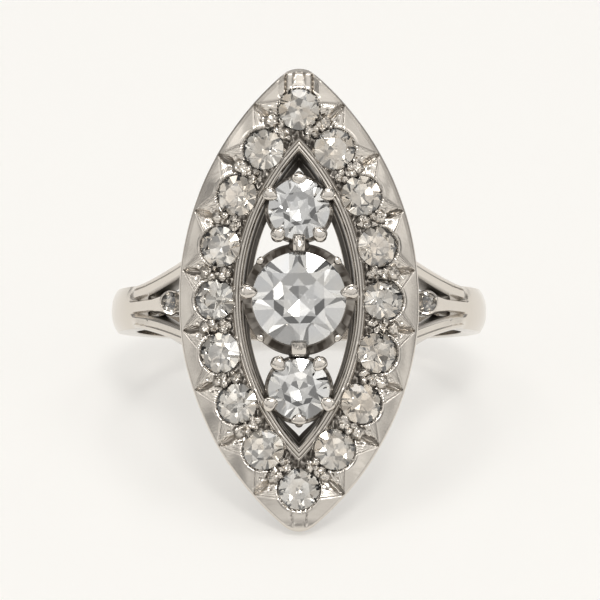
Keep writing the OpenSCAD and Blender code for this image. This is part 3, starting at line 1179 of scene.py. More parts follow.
        edge, edge_z = top[-1, :, :2], top[-1, :, 2]
        bottom = self.dome.under(edge[:, 0])
        edge_rows = [np.column_stack((edge, edge_z * (1 - s) + bottom * s)) for s in (0.35, 0.7, 0.95)]
        inset = edge * (1.0 - self.edge_inset / np.hypot(*edge.T))[:, None]
        edge_rows.append(np.column_stack((inset, bottom)))
        grid = np.concatenate((wall, top, edge_rows))
        around = ((len(wall), len(edge_rows)), (0, 0))
        layers = {
            "patina_and_shade": np.concatenate((shades, dark, np.full((len(edge_rows), columns), 0.05))),
            "fan": np.pad(fan, around),
            "fan_lines": np.pad(lines, around),
        }
        cells = np.ones((grid.shape[0] - 1, columns), bool)
        cells[len(wall):len(wall) + keep.shape[0]] = keep
        return self.grid_piece("head_face", grid, cells, layers, material, True)

    def grid_piece(
        self, name: str, grid: np.ndarray, cells: np.ndarray, layers: dict[str, np.ndarray],
        material: Material, facing_up: bool,
    ) -> Object:
        """Makes a piece of the cells that stay in a grid closed around the opening.

        Args:
            name: Name of the piece.
            grid: Points by row and column.
            cells: Which cells stay.
            layers: Values for each point, by the name of their attribute.
            material: Its material.
            facing_up: Whether the outside is above, as on the face, and not below.

        Returns:
            The piece.
        """
        columns = grid.shape[1]
        row, column = np.nonzero(cells)
        ahead = (column + 1) % columns
        this, following = row * columns, (row + 1) * columns
        faces = np.column_stack((this + column, this + ahead, following + ahead, following + column))
        if facing_up:
            faces = faces[:, ::-1]
        used, numbers = np.unique(faces, return_inverse=True)
        faces = numbers.reshape(faces.shape).tolist()
        kept = {layer: values.reshape(-1)[used] for layer, values in layers.items()}
        return make_piece(name, grid.reshape(-1, 3)[used], faces, material, 55.0, kept)

    def back(self, material: Material) -> None:
        """Builds the underside, the outside of the opening's wall and its foot.

        Args:
            material: The metal.
        """
        columns = 560
        slope = self.wall_taper / self.wall_depth
        grow = self.wall_thickness
        inner = np.linspace(0.0, 1.0, 16, endpoint=False)
        outer = np.linspace(0.0, 1.0, 21)
        plan = self.plan(columns, inner, outer, grow - self.dome.thickness * slope)
        run, y = self.dome.unroll(plan[..., 0]), plan[..., 1].copy()
        keep = self.punch(run, y, self.back_radius)
        x = self.dome.radius * np.sin(run / self.dome.radius)
        inset = 1.0 - self.edge_inset / np.hypot(x[-1], y[-1])
        x[-1] *= inset
        y[-1] *= inset
        sheet = np.stack((x, y, self.dome.under(x)), -1)
        shares = self.column_shares(columns)
        foot = self.dome.crest - self.wall_depth
        bevel = 0.06
        inside = self.foot_room(shares) - self.wall_taper
        outside = grow - self.wall_taper
        rows = []
        for z, out in ((foot, inside), (foot, outside - bevel), (foot + bevel, outside)):
            ring = both_sides(self.outline.open_point(shares, out))
            rows.append(np.column_stack((ring, np.full(columns, z))))
        grid = np.concatenate((rows, sheet))
        cells = np.ones((grid.shape[0] - 1, columns), bool)
        cells[len(rows):] = keep
        layers = {"patina_and_shade": np.full(grid.shape[:2], 0.15)}
        self.grid_piece("head_back", grid, cells, layers, material, False)

    def seat_tubes(self, material: Material) -> None:
        """Builds the walls of the holes between the seats and their open backs.

        Args:
            material: The metal.
        """
        sheet = Sheet()
        turn = full_turn(36)
        for x, y in self.outline.stone_places():
            run = self.dome.unroll(x) + self.back_radius * np.cos(turn)
            along = y + self.back_radius * np.sin(turn)
            top = self.dome.raise_point(run, along, self.relief(run, along)[0])
            across = self.dome.radius * np.sin(run / self.dome.radius)
            foot = np.column_stack((across, along, self.dome.under(across)))
            # The walls of the holes are darkened as painted shade.
            sheet.grid(np.array((top, foot)), 0.3)
        sheet.piece("seat_tubes", material, 30.0)


@dataclass(frozen=True)
class Cut:
    """Proportions of a round brilliant, as shares of its radius and slopes in degrees.

    Args:
        table: Radius of the table.
        crown: Slope of the crown's kites.
        star: How far the star facets reach towards the girdle.
        pavilion: Slope of the pavilion's main facets.
        lower: How near to the girdle's middle height the lower facets end, from the axis.
        girdle: Thickness of the girdle.
    """

    table: float = 0.58
    crown: float = 34.5
    star: float = 0.5
    pavilion: float = 42.4
    lower: float = 0.2
    girdle: float = 0.03


@dataclass
class Stone:
    """One cut diamond, made by grinding its facets off a round blank.

    Args:
        node: Name of the solid that it stands for.
        diameter: Diameter of its girdle.
        place: X, Y and Z of its girdle's middle.
        lean: Turn about the finger's axis, in radians, which lays it on the dome.
        turn: Turn about its own axis, in degrees.
        cut: Its proportions.
        dip: Turn about the X axis, in radians, as no stone sits quite level.
    """

    node: str
    diameter: float
    place: tuple[float, float, float]
    lean: float = 0.0
    turn: float = 0.0
    cut: Cut = field(default_factory=Cut)
    dip: float = 0.0

    def facets(self) -> list[tuple[Vector, float]]:
        """Planes of the facets.

        Returns:
            Outward direction and distance from the girdle's middle, for a girdle radius of 1.
        """
        cut, half, tan = self.cut, math.radians(22.5), math.tan

        def through(points: list[Vector]) -> tuple[Vector, float]:
            """Plane through three points, facing away from the stone's middle."""
            normal = (points[1] - points[0]).cross(points[2] - points[0]).normalized()
            if normal.dot(points[0]) < 0:
                normal = -normal
            return normal, normal.dot(points[0])

        def at(radius: float, angle: float, height: float) -> Vector:
            """Point in round coordinates."""
            return Vector((radius * math.cos(angle), radius * math.sin(angle), height))

        rise = tan(math.radians(cut.crown))
        fall = tan(math.radians(cut.pavilion))
        top = (1.0 - cut.table) * rise
        star_r = cut.table + (1.0 - cut.table) * cut.star
        star_z = top - (star_r * math.cos(half) - cut.table) * rise
        low_z = -cut.girdle - (1.0 - cut.lower * math.cos(half)) * fall
        side = 1.0 / math.cos(half / 2)
        planes = [(Vector((0.0, 0.0, 1.0)), top)]
        for number in range(8):
            a = number * 2.0 * half
            star = at(star_r, a + half, star_z)
            kite = [at(1, a, 0), star, at(star_r, a - half, star_z)]
            beside_table = [at(cut.table, a, top), at(cut.table, a + 2 * half, top), star]
            main = [at(cut.lower, a + half, low_z), at(cut.lower, a - half, low_z), at(1, a, -cut.girdle)]
            planes += [through(kite), through(beside_table), through(main)]
            for sign in (-half, half):
                upper = [at(1, a, 0), at(side, a + sign / 2, 0.0), at(star_r, a + sign, star_z)]
                lower = [at(1, a, -cut.girdle), at(side, a + sign / 2, -cut.girdle)]
                planes += [through(upper), through([*lower, at(cut.lower, a + sign, low_z)])]
        return planes

    def build(self, material: Material) -> None:
        """Grinds the stone and seats it in place of its solid.

        Args:
            material: The diamond.
        """
        girdle_steps = 96
        work = bmesh.new()
        blank = {"segments": girdle_steps, "radius1": 1.0, "radius2": 1.0, "depth": 3.0}
        bmesh.ops.create_cone(work, cap_ends=True, **blank)
        for normal, distance in self.facets():
            whole = work.verts[:] + work.edges[:] + work.faces[:]
            plane = {"plane_co": normal * distance, "plane_no": normal, "dist": 1e-6}
            cut = bmesh.ops.bisect_plane(work, geom=whole, clear_outer=True, **plane)
            rim = [e for e in cut["geom_cut"] if isinstance(e, bmesh.types.BMEdge)]
            bmesh.ops.contextual_create(work, geom=rim)
        bmesh.ops.recalc_face_normals(work, faces=work.faces)
        mesh = bpy.data.meshes.new(self.node)
        work.to_mesh(mesh)
        work.free()
        size = Matrix.Scale(self.diameter / 2, 4)
        spin = Matrix.Rotation(math.radians(self.turn), 4, "Z")
        lean = Matrix.Rotation(self.lean, 4, "Y") @ Matrix.Rotation(self.dip, 4, "X")
        mesh.transform(Matrix.Translation(self.place) @ lean @ spin @ size)
        piece = finish_piece(f"{self.node}_cut", mesh, material, 0.0)
        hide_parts(self.node)


@dataclass
class CentreRow:
    """The three claw-set stones across the opening, with their cups and claws.

    Args:
        crest: Height of the head's crest.
        middle_diameter: Diameter of the middle stone.
        middle_lift: Height of its girdle over the crest.
        small_diameter: Diameter of its two neighbours.
        small_distance: Their distance from the middle.
        small_sink: Depth of their girdles below the crest.
        flare: How far the middle cup's edge stands out from its stone.
        small_flare: The same for the small cups.
        cup_edge: Depth of the cups' edges below the girdles.
        middle_depth: Depth of the middle cup.
        small_depth: Depth of the small cups.
        scallops: Number of scallops around a cup.
        small_claws: Directions of a small cup's claws, in degrees.
    """

    crest: float = 12.4
    middle_diameter: float = 4.75
    middle_lift: float = 0.1
    small_diameter: float = 3.1
    small_distance: float = 4.56
    small_sink: float = 0.05
    flare: float = 0.48
    small_flare: float = 0.2
    cup_edge: float = 0.42
    middle_depth: float = 2.6
    small_depth: float = 2.0
    scallops: int = 8
    small_claws: tuple[float, ...] = (27.0, 90.0, 153.0, 231.0, 309.0)

    def cup(
        self, sheet: Sheet, centre: tuple[float, float, float], radius: float, flare: float,
        depth: float, scallops: int, drop: float,
    ) -> None:
        """Adds a scalloped cup under a stone.

        Args:
            sheet: Where it goes.
            centre: Middle of the stone's girdle.
            radius: Radius of the stone.
            flare: How far its edge stands out from the stone.
            depth: Depth of its foot.
            scallops: Number of scallops.
            drop: Depth of each scallop.
        """
        steps = 24 * scallops
        turn = full_turn(steps)
        cusp = np.abs(((turn * scallops / (2.0 * math.pi)) % 1.0) - 0.5) * 2.0
        chance = np.random.default_rng(scallops)
        low = drop * (1.0 - cusp**1.4)
        edge = radius + flare
        foot = edge - 0.45 * depth
        profile = [
            (foot - 0.12, -depth, 0.0, 0.4),
            (foot, -depth, 0.0, 0.6),
            (edge - 0.14 * depth, -0.5 * depth, 0.1, 0.8),
            (edge - 0.02, -self.cup_edge - 0.14, 0.9, 0.7),
            (edge, -self.cup_edge - 0.06, 1.0, 0.6),
            (edge - 0.04, -self.cup_edge, 1.0, 0.85),
            (edge - 0.1, -self.cup_edge + 0.01, 1.0, 1.0),
            (radius + 0.08, -self.cup_edge + 0.1, 0.9, 1.0),
            (radius - 0.02, -0.3, 0.6, 0.6),
            (radius - 0.06, -0.4, 0.5, 0.1),
            (foot - 0.12, -depth, 0.0, 0.4),
        ]
        rings, shades = [], []
        for r, z, share, dark in profile:
            level = np.column_stack((r * np.cos(turn), r * np.sin(turn), z - low * share))
            rings.append(level + np.array(centre))
            worn = np.repeat(chance.uniform(-0.45, 0.2, steps // 3), 3) * share
            shades.append(np.clip(dark - 0.3 * cusp**3 * share + worn, 0.0, 1.0))
        sheet.grid(np.array(rings), np.array(shades))

    def claw(
        self, sheet: Sheet, centre: tuple[float, float, float], radius: float, turn: float,
        size: float, reach: float, rise: float, wide: float = 1.0,
    ) -> None:
        """Adds a claw that rises outside a stone and ends in a bead over its edge.

        Args:
            sheet: Where it goes.
            centre: Middle of the stone's girdle.
            radius: Radius of the stone.
            turn: Direction of the claw, in degrees.
            size: Radius of its bead.
            reach: How far it reaches over the stone.
            rise: Height of its bead.
            wide: How much wider than long the bead is.
        """
        out = np.array([math.cos(math.radians(turn)), math.sin(math.radians(turn)), 0.0])
        middle = np.array(centre)
        post = radius + 0.55 * size
        path, radii = [], []
        for inwards, down, share in ((0.12, 1.5, 0.6), (0.0, 0.7, 0.7), (0.0, 0.1, 0.75)):
            path.append(middle + out * (post - inwards) - UP * down)
            radii.append(share * size)
        # The post is darkened as painted shade under the bead.
        sheet.tube(np.array(path), np.array(radii), 18, 0.55)
        bead = middle + out * (radius + size - reach) + UP * rise
        self.bead(sheet, bead, out, (size * 1.02, size * wide, size * 0.5))

    def bead(
        self, sheet: Sheet, centre: np.ndarray, out: np.ndarray, size: tuple[float, float, float]
    ) -> None:
        """Adds a rounded bead, a little lumpy as if pushed over with a tool.

        Args:
            sheet: Where it goes.
            centre: Its middle.
            out: Level direction away from the stone.
            size: Its half sizes along that direction, across it and upwards.
        """
        rows, columns = 15, 30
        level_power, ring_power, lump_height = 0.75, 0.7, 0.05
        side = np.array([-out[1], out[0], 0.0])
        turn = full_turn(columns)
        rings = []
        for angle in np.linspace(0.0, math.pi, rows)[::-1]:
            level = np.sign(math.cos(angle)) * abs(math.cos(angle)) ** level_power
            ring = math.sin(angle) ** ring_power if 0 < angle < math.pi else 0.0
            lump = 1.0 + lump_height * np.sin(3.0 * turn + 9.0 * centre[0] + 5.0 * angle)
            wide = size[1] * ring * (0.86 + 0.3 * np.cos(turn)) * np.sin(turn) * lump
            rings.append(centre + size[0] * ring * np.outer(np.cos(turn) * lump, out)
                         + np.outer(wide, side) + size[2] * level * UP)
        sheet.grid(np.array(rings))

    def shared_claw(self, sheet: Sheet, start: float, end: float, width: float, side: float) -> None:
        """Adds the flat-topped bar that holds the middle stone and its neighbour.

        Args:
            sheet: Where it goes.
            start: Distance from the middle at which it starts, over the middle stone.
            end: Distance at which it ends, over the small stone.
            width: Half of its width.
            side: 1 for the upper one, -1 for the lower one.
        """
        top = self.crest + 0.34
        run = np.array([0.0, 0.04, 0.12, 0.24, 0.3, 0.85, 0.95, 1.0])
        drop = np.array([0.5, 0.3, 0.22, 0.18, 0.0, 0.02, 0.1, 0.4])
        narrow = np.array([0.6, 0.85, 0.95, 1.0, 1.0, 1.0, 0.9, 0.6])
        shade = np.array([0.1, 0.05, 0.3, 0.75, 0.1, 0.0, 0.05, 0.3])
        across = np.array([-1.0, -0.96, -0.8, 0.0, 0.8, 0.96, 1.0, 0.9, -0.9])
        fall = np.array([0.22, 0.08, 0.0, -0.03, 0.0, 0.08, 0.22, 0.75, 0.75])
        y = side * (start + (end - start) * run)
        rings = [
            np.column_stack((width * n * across, np.full(9, v), top - d - fall))
            for v, n, d in zip(y, narrow, drop)
        ]
        rings.insert(0, np.column_stack((np.zeros(9), np.full(9, y[0]), np.full(9, top - 0.75))))
        rings.append(np.column_stack((np.zeros(9), np.full(9, y[-1]), np.full(9, top - 0.7))))
        shades = np.repeat(np.concatenate(([0.3], shade, [0.3])), 9).reshape(10, 9)
        order = int(side)
        sheet.grid(np.array(rings)[::order], shades[::order])
        middle = side * (self.middle_diameter / 2 + self.small_distance - self.small_diameter / 2) / 2
        # Posts under the bar, darkened almost black as painted shade between the cups.
        for x, low in ((0.0, 2.3), (0.3, 1.5), (-0.3, 1.5)):
            post = np.array([[x, middle, top - low], [x, middle, top - 1.2], [x, middle, top - 0.75]])
            sheet.tube(post, 0.26, 16, 0.9)

    def small_place(self, side: float) -> tuple[float, float, float]:
        """Middle of the girdle of the upper small stone (1) or of the lower one (-1)."""
        return 0.0, side * self.small_distance, self.crest - self.small_sink

    def build(self, finishes: Finishes) -> None:
        """Builds cups, claws and the three stones.

        Args:
            finishes: The materials.
        """
        middle = (0.0, 0.0, self.crest + self.middle_lift)
        radius, small = self.middle_diameter / 2, self.small_diameter / 2
        cups, claws = Sheet(), Sheet()
        self.cup(cups, middle, radius, self.flare, self.middle_depth, self.scallops, 0.26)
        for side in (1.0, -1.0):
            centre = self.small_place(side)
            self.cup(cups, centre, small, self.small_flare, self.small_depth, 10, 0.16)
            for turn in self.small_claws:
                size, wide = (0.29, 1.5) if turn == 90.0 else (0.4, 1.0)
                self.claw(claws, centre, small, side * turn, size, 0.34, 0.1, wide)
        for turn in (8.0, 172.0):
            self.claw(claws, middle, radius, turn, 0.48, 0.3, 0.05, 0.85)
            out = 1.0 if turn < 90 else -1.0
            bridge = [[out * (radius + reach), 0.1, self.crest - 0.62] for reach in (0.1, 0.75)]
            # The bridge below the stone's side is darkened as painted shade.
            claws.tube(np.array(bridge), 0.24, 16, 0.6)
        for turn in (45.0, 135.0, 225.0, 315.0):
            angle = math.radians(turn)
            bead = radius + self.flare - 0.12
            low = self.crest + self.middle_lift - self.cup_edge
            out = np.array([math.cos(angle), math.sin(angle), 0.0])
            self.bead(claws, bead * out + [0.0, 0.0, low], out, (0.2, 0.26, 0.14))
        self.shared_claw(claws, 2.08, 3.32, 0.33, 1.0)
        self.shared_claw(claws, 1.94, 2.9, 0.4, -1.0)
        cups.piece("centre_cups", finishes.metal, 50.0)
        claws.piece("centre_claws", finishes.bright, 60.0)
        Stone("middle_stone", self.middle_diameter, middle, turn=24.0).build(finishes.diamond)
        for name, side in (("upper_stone", 1.0), ("lower_stone", -1.0)):
            stone = Stone(name, self.small_diameter, self.small_place(side), turn=-10.0 - 3.0 * side)
            stone.build(finishes.diamond)


@dataclass
class BorderStones:
    """The grain-set stones around the head, each a little different, as old stones are.

    Args:
        outline: Shapes seen from above.
        dome: The curve that they lie on.
        diameter: Their diameter.
        sink: Depth of their girdles below the dome.
        seed: Fixes how they differ.
    """

    outline: Outline = field(default_factory=Outline)
    dome: Dome = field(default_factory=Dome)
    diameter: float = 2.05
    sink: float = 0.14
    seed: int = 7

    def build(self, material: Material) -> None:
        """Cuts and seats the stones.

        Args:
            material: The diamond.
        """
        chance = np.random.default_rng(self.seed)
        for number, (x, y) in enumerate(self.outline.stone_places(), 1):
            nx, nz = self.dome.normal(x)
            reach = self.dome.radius - self.sink
            place = (x - nx * self.sink, y, self.dome.crest - self.dome.radius + nz * reach)
            ranges = ((0.5, 0.6), (31.0, 36.5), (0.4, 0.5), (40.6, 42.8), (0.2, 0.36))
            cut = Cut(*(chance.uniform(low, high) for low, high in ranges))
            lean = math.asin(x / self.dome.radius) + chance.uniform(-0.05, 0.05)
            turn, dip = chance.uniform(0.0, 45.0), chance.uniform(-0.05, 0.05)
            name = f"border_stone_{number}"
            Stone(name, self.diameter, place, lean, turn, cut, dip).build(material)


@dataclass
class Grains:
    """Beads of metal raised beside the border stones, which hold them down.

    Args:
        outline: Shapes seen from above.
        dome: The curve that they stand on.
        rows: Distance outwards from the stones' path, distance sideways, and radius of each grain.
        sink: Depth of their middles below the dome, in grain radii.
        seed: Fixes how they differ.
        lump: How far they are from round.
        foot_shade_and_grime: How dark the metal is around their feet: grime there and painted shade under
            the beads.
    """

    outline: Outline = field(default_factory=Outline)
    dome: Dome = field(default_factory=Dome)
    rows: tuple[tuple[float, float, float], ...] = (
        (0.52, 0.0, 0.33),
        (0.17, 0.14, 0.2),
        (0.13, -0.17, 0.19),
        (-0.1, 0.02, 0.17),
        (-0.36, 0.17, 0.23),
        (-0.34, -0.17, 0.19),
        (-0.6, 0.02, 0.18),
    )
    sink: float = 0.45
    seed: int = 3
    lump: float = 0.3
    foot_shade_and_grime: float = 0.6

    def places(self) -> tuple[np.ndarray, np.ndarray, np.ndarray]:
        """Middles, radii and the turns that lay each grain on the dome."""
        chance = np.random.default_rng(self.seed)
        middles, sizes, turns = [], [], []
        for x, y, nx, ny in self.outline.gap_places():
            for out, aside, size in self.rows:
                radius = size * chance.uniform(0.8, 1.15)
                px = x + out * nx - aside * ny + chance.uniform(-0.06, 0.06)
                py = y + out * ny + aside * nx + chance.uniform(-0.06, 0.06)
                ax, az = self.dome.normal(px)
                reach = self.dome.radius - self.sink * radius
                middles.append((ax * reach, py, self.dome.crest - self.dome.radius + az * reach))
                sizes.append(radius)
                turns.append((0.0, math.asin(ax), math.atan2(ny, nx)))
        return np.array(middles), np.array(sizes), np.array(turns)

    def tree(self, material: Material) -> NodeTree:
        """Builds the Geometry Nodes that put a bead on each point.

        Args:
            material: The metal.

        Returns:
            The tree.
        """
        tree = bpy.data.node_groups.new("grains", "GeometryNodeTree")
        sockets = [("Geometry", "INPUT", "Geometry"), ("Bead size", "INPUT", "Float")]
        sockets += [("Bead height", "INPUT", "Float"), ("Geometry", "OUTPUT", "Geometry")]
        for name, way, kind in sockets:
            tree.interface.new_socket(name, in_out=way, socket_type=f"NodeSocket{kind}")
        wiring = Wiring(tree)
        start = tree.nodes.new("NodeGroupInput").outputs
        ball = wiring.add("GeometryNodeMeshIcoSphere", "Mesh", {"Subdivisions": 4})
        flattened = {"X": 1.0, "Y": 1.0, "Z": start["Bead height"]}
        squash = wiring.add("ShaderNodeCombineXYZ", "Vector", flattened)
        bead = wiring.add("GeometryNodeTransform", "Geometry", {"Geometry": ball, "Scale": squash})
        radius, turn = (
            wiring.add("GeometryNodeInputNamedAttribute", "Attribute", {"Name": name}, data_type=kind)
            for name, kind in (("grain_radius", "FLOAT"), ("grain_turn", "FLOAT_VECTOR"))
        )
        scale = wiring.maths("MULTIPLY", radius, start["Bead size"])
        on_points = {"Points": start["Geometry"], "Rotation": turn, "Scale": scale}
        on_points["Instance"] = self.darken_feet(wiring, bead)
        beads = wiring.add("GeometryNodeInstanceOnPoints", "Instances", on_points)
        real = wiring.add("GeometryNodeRealizeInstances", "Geometry", {"Geometry": beads})
        lumps = wiring.add("ShaderNodeTexNoise", "Color", {"Scale": 5.0, "Detail": 1.0})
        around = {0: lumps, 1: (0.5, 0.5, 0.5)}
        centred = wiring.add("ShaderNodeVectorMath", "Vector", around, operation="SUBTRACT")
        dent = {0: centred, "Scale": self.lump}
        shift = wiring.add("ShaderNodeVectorMath", "Vector", dent, operation="SCALE")
        dented = wiring.add("GeometryNodeSetPosition", "Geometry", {"Geometry": real, "Offset": shift})
        smooth = wiring.add("GeometryNodeSetShadeSmooth", "Geometry", {"Geometry": dented})
        coat = {"Geometry": smooth, "Material": material}
        painted = wiring.add("GeometryNodeSetMaterial", "Geometry", coat)
        wiring.feed(tree.nodes.new("NodeGroupOutput"), {"Geometry": painted})
        return tree

    def darken_feet(self, wiring: Wiring, bead: NodeSocket) -> NodeSocket:
        """Darkens the lower part of a bead: grime at its foot and painted shade under its bulge.

        Args:
            wiring: The tree's wiring.
            bead: The clean bead.

        Returns:
            The bead with its attribute for how dark it is.
        """
        place = wiring.add("GeometryNodeInputPosition", "Position")
        height = wiring.add("ShaderNodeSeparateXYZ", "Z", {"Vector": place})
        shade = wiring.remap(height, (0.76, 0.36), (0.0, self.foot_shade_and_grime))
        stored = {"Name": "patina_and_shade", "Geometry": bead, "Value": shade}
        return wiring.add("GeometryNodeStoreNamedAttribute", "Geometry", stored, data_type="FLOAT")

    def build(self, material: Material) -> None:
        """Builds all grains as one mesh.

        Args:
            material: The metal.
        """
        middles, sizes, turns = self.places()
        points = bpy.data.meshes.new("grain_points")
        points.from_pydata(middles.tolist(), [], [])
        points.attributes.new("grain_radius", "FLOAT", "POINT").data.foreach_set("value", sizes)
        turned = points.attributes.new("grain_turn", "FLOAT_VECTOR", "POINT")
        turned.data.foreach_set("vector", turns.ravel())
        holder = bpy.data.objects.new("grain_points", points)
        bpy.context.scene.collection.objects.link(holder)
        tree = self.tree(material)
        modifier = holder.modifiers.new("grains", "NODES")
        modifier.node_group = tree
        sockets = {s.name: s.identifier for s in tree.interface.items_tree if s.in_out == "INPUT"}
        modifier[sockets["Bead size"]] = 1.0
        modifier[sockets["Bead height"]] = 0.9
        graph = bpy.context.evaluated_depsgraph_get()
        mesh = bpy.data.meshes.new_from_object(holder.evaluated_get(graph), depsgraph=graph)
        bpy.data.objects.remove(holder)
        bpy.data.meshes.remove(points)
        finish_piece("grains", mesh, material, 60.0)


@dataclass
class Shank:
    """Band and forked shoulders.

    Args:
        finger_radius: Inner radius.
        thickness: Thickness of the band.
        width: Width of the band.
        bevel: Depth by which its outer face falls off at the edges.
        leave_turn: Angle above the horizontal at which the shoulders leave the band, in degrees.
        shoulder_top: X and Z at which the shoulders reach the head.
        shoulder_end: X at which they end below the head.
        flare_x: X at which they start to widen.
        flare_width: Half of their width at the head's edge.
        flare_power: How late they widen.
        head_half: Half of the head's width.
        slit_x: X at which the slits between the leaves start.
        split_x: X at which the outer face starts to part into leaves.
        nose_x: X of the rounded end of the upper leaf.
        nose_y: Y of that end's middle.
        nose_size: Half of its width.
        leaf_width: Width of an outer leaf.
        middle_leaf: Half width of the middle leaf.
        spark_diameter: Diameter of the shoulder stones.
        spark_place: X and Z of their girdles.
    """

    finger_radius: float = 8.5
    thickness: float = 1.3
    width: float = 2.2
    bevel: float = 0.32
    leave_turn: float = 23.4
    shoulder_top: tuple[float, float] = (5.925, 10.2)
    shoulder_end: float = 5.2
    flare_x: float = 8.7
    flare_width: float = 2.05
    flare_power: float = 1.4
    head_half: float = 6.025
    slit_x: float = 7.85
    split_x: float = 8.8
    nose_x: float = 8.68
    nose_y: float = 0.63
    nose_size: float = 0.27
    leaf_width: float = 0.78
    middle_leaf: float = 0.34
    spark_diameter: float = 1.0
    spark_place: tuple[float, float] = (6.5, 9.2)

    def half_width(self, x: float) -> float:
        """Half of the shoulders' width at x."""
        share = max(0.0, self.flare_x - x) / (self.flare_x - self.head_half)
        return self.width / 2 + (self.flare_width - self.width / 2) * share**self.flare_power

    def stations(self, count: int) -> list[tuple[np.ndarray, np.ndarray]]:
        """Outer and inner points along a shoulder, from the band to below the head.

        Args:
            count: Number of stations up to the head's edge.

        Returns:
            Pairs of X and Z.
        """
        turn = math.radians(self.leave_turn)
        outer = self.finger_radius + self.thickness
        start = np.array([math.cos(turn), math.sin(turn)]) * outer
        end = np.array(self.shoulder_top)
        last_turn = math.acos(end[0] / self.finger_radius)
        pairs = []
        for share in np.linspace(0.0, 1.0, count):
            angle = turn + (last_turn - turn) * share
            inner = np.array([math.cos(angle), math.sin(angle)]) * self.finger_radius
            pairs.append((start + (end - start) * share, inner))
        x = self.shoulder_end
        slope = 0.14
        below = math.sqrt(self.finger_radius**2 - x**2)
        pairs.append((np.array([x, end[1] + slope * (end[0] - x)]), np.array([x, below])))
        return pairs

    def crown(self, y: np.ndarray, x: float) -> np.ndarray:
        """Depth of the outer face below its highest line.

        Args:
            y: Distances along the finger.
            x: Distance from the middle.

        Returns:
            Depths.
        """
        half, middle, edge = self.half_width(x), self.middle_half(x), self.leaf_edge(x)
        plain = self.bevel * (np.abs(y) / half) ** 2.6
        split = smoothstep(self.split_x - x, 0.0, 0.35)
        knots = [0.0, middle - 0.08, middle, edge + 1e-3, edge + 0.16, edge + 0.2]
        knots += [half - inset for inset in (0.3, 0.25, 0.2, 0.08, 0.0)]
        depths = [0.02, 0.05, 0.34, 0.34, 0.14, 0.1, 0.0, 0.1, 0.02, 0.1, self.bevel]
        leaf = np.interp(np.abs(y), knots, depths)
        return plain * (1.0 - split) + leaf * split + 0.05 * self.nose(y, x)

    def nose(self, y: np.ndarray, x: float) -> np.ndarray:
        """Strength of the cut line around the rounded end of the upper leaf.

        Args:
            y: Distances along the finger.
            x: Distance from the middle.

        Returns:
            Strengths from 0 to 1.
        """
        reach = 1.0 - np.minimum(((y - self.nose_y) / self.nose_size) ** 2, 1.0)
        bulge = 0.22
        line = self.nose_x - bulge + bulge * np.sqrt(reach)
        return ridge(x - line, 0.05) * (reach > 0.0)

    def middle_half(self, x: float) -> float:
        """Half width of the middle leaf at x, which widens towards the stone's cup."""
        return self.middle_leaf + 0.22 * float(smoothstep(self.slit_x - x, 0.0, 1.4))

    def leaf_edge(self, x: float) -> float:
        """Y at which an outer leaf starts at x."""
        return max(self.half_width(x) - self.leaf_width, self.middle_half(x))

    def strip(
        self, sheet: Sheet, pairs: list, low: list[float], high: list[float], mirror: float,
        spread: tuple[float, float] = (0.0, 0.0),
    ) -> None:
        """Adds one closed strip between two lines along a shoulder.

        Args:
            sheet: Where it goes.
            pairs: Outer and inner points of each station.
            low: Y of one side at each station.
            high: Y of the other side.
            mirror: 1 for the right shoulder, -1 for the left one.
            spread: How much wider each side is at the finger than at the outer face.
        """
        across = np.linspace(0.0, 1.0, 33)
        edge = 0.04
        groove_inset, groove_width = 0.25, 0.035
        rings, shades = [], []
        for (outer, inner), a, b in zip(pairs, low, high):
            y = a + (b - a) * across
            half = self.half_width(outer[0])
            depth = self.crown(y, outer[0])
            inward = (inner - outer) / np.linalg.norm(inner - outer)
            top = outer + np.outer(depth, inward)
            wall = inner - inward * edge
            wide = np.clip((self.slit_x - outer[0]) / 0.5, 0.0, 1.0)
            cut = np.clip((self.nose_x - 0.15 - outer[0]) / 0.1, 0.0, 1.0)
            a_foot, b_foot = a - spread[0] * wide, b + spread[1] * wide
            slope = (b - a) * 0.06
            feet = ((wall, b_foot), (inner, b_foot - slope), (inner, a_foot + slope), (wall, a_foot))
            ring = [(p[0], v, p[1]) for p, v in (*zip(top, y), *feet)]
            rings.append(np.array(ring) * [mirror, 1.0, 1.0])
            groove = ridge(np.abs(y) - half + groove_inset, groove_width) * np.where(y > 0.0, cut, wide)
            # Painted shade on the slit floors, darker the deeper they are; grime and painted shade in the
            # grooves and around the upper leaf's nose. Below, the walls beside the slits and the finger
            # side are painted darker as shade.
            dark = np.interp(depth, [0.12, 0.34], [0.0, 0.3 + 0.38 * wide]) * (np.abs(y) < half - 0.3)
            dark = np.maximum(dark + 0.6 * groove, 0.6 * self.nose(y, outer[0]))
            low_dark, high_dark = (0.55 if size else 0.2 for size in spread)
            dark = np.concatenate((dark, [high_dark, 0.3, 0.3, low_dark]))
            shades.append(np.clip(dark, 0.0, 1.0))
        order = int(mirror)
        sheet.bar(np.array(rings)[::order], np.array(shades)[::order])

    def band(self, sheet: Sheet) -> None:
        """Adds the plain band below the shoulders."""
        turn = math.radians(self.leave_turn)
        half = self.width / 2
        y = np.linspace(-half, half, 33)
        outer = self.finger_radius + self.thickness
        depth = self.crown(y, outer)
        edge = 0.05
        section = [(v, outer - d) for v, d in zip(y, depth)]
        section += [(half, self.finger_radius + edge), (half - edge, self.finger_radius),
                    (edge - half, self.finger_radius), (-half, self.finger_radius + edge)]
        angles = np.linspace(math.pi - turn, 2.0 * math.pi + turn, 181)
        rings = np.array([[(r * math.cos(a), v, r * math.sin(a)) for v, r in section] for a in angles])
        sheet.bar(rings, 0.0)

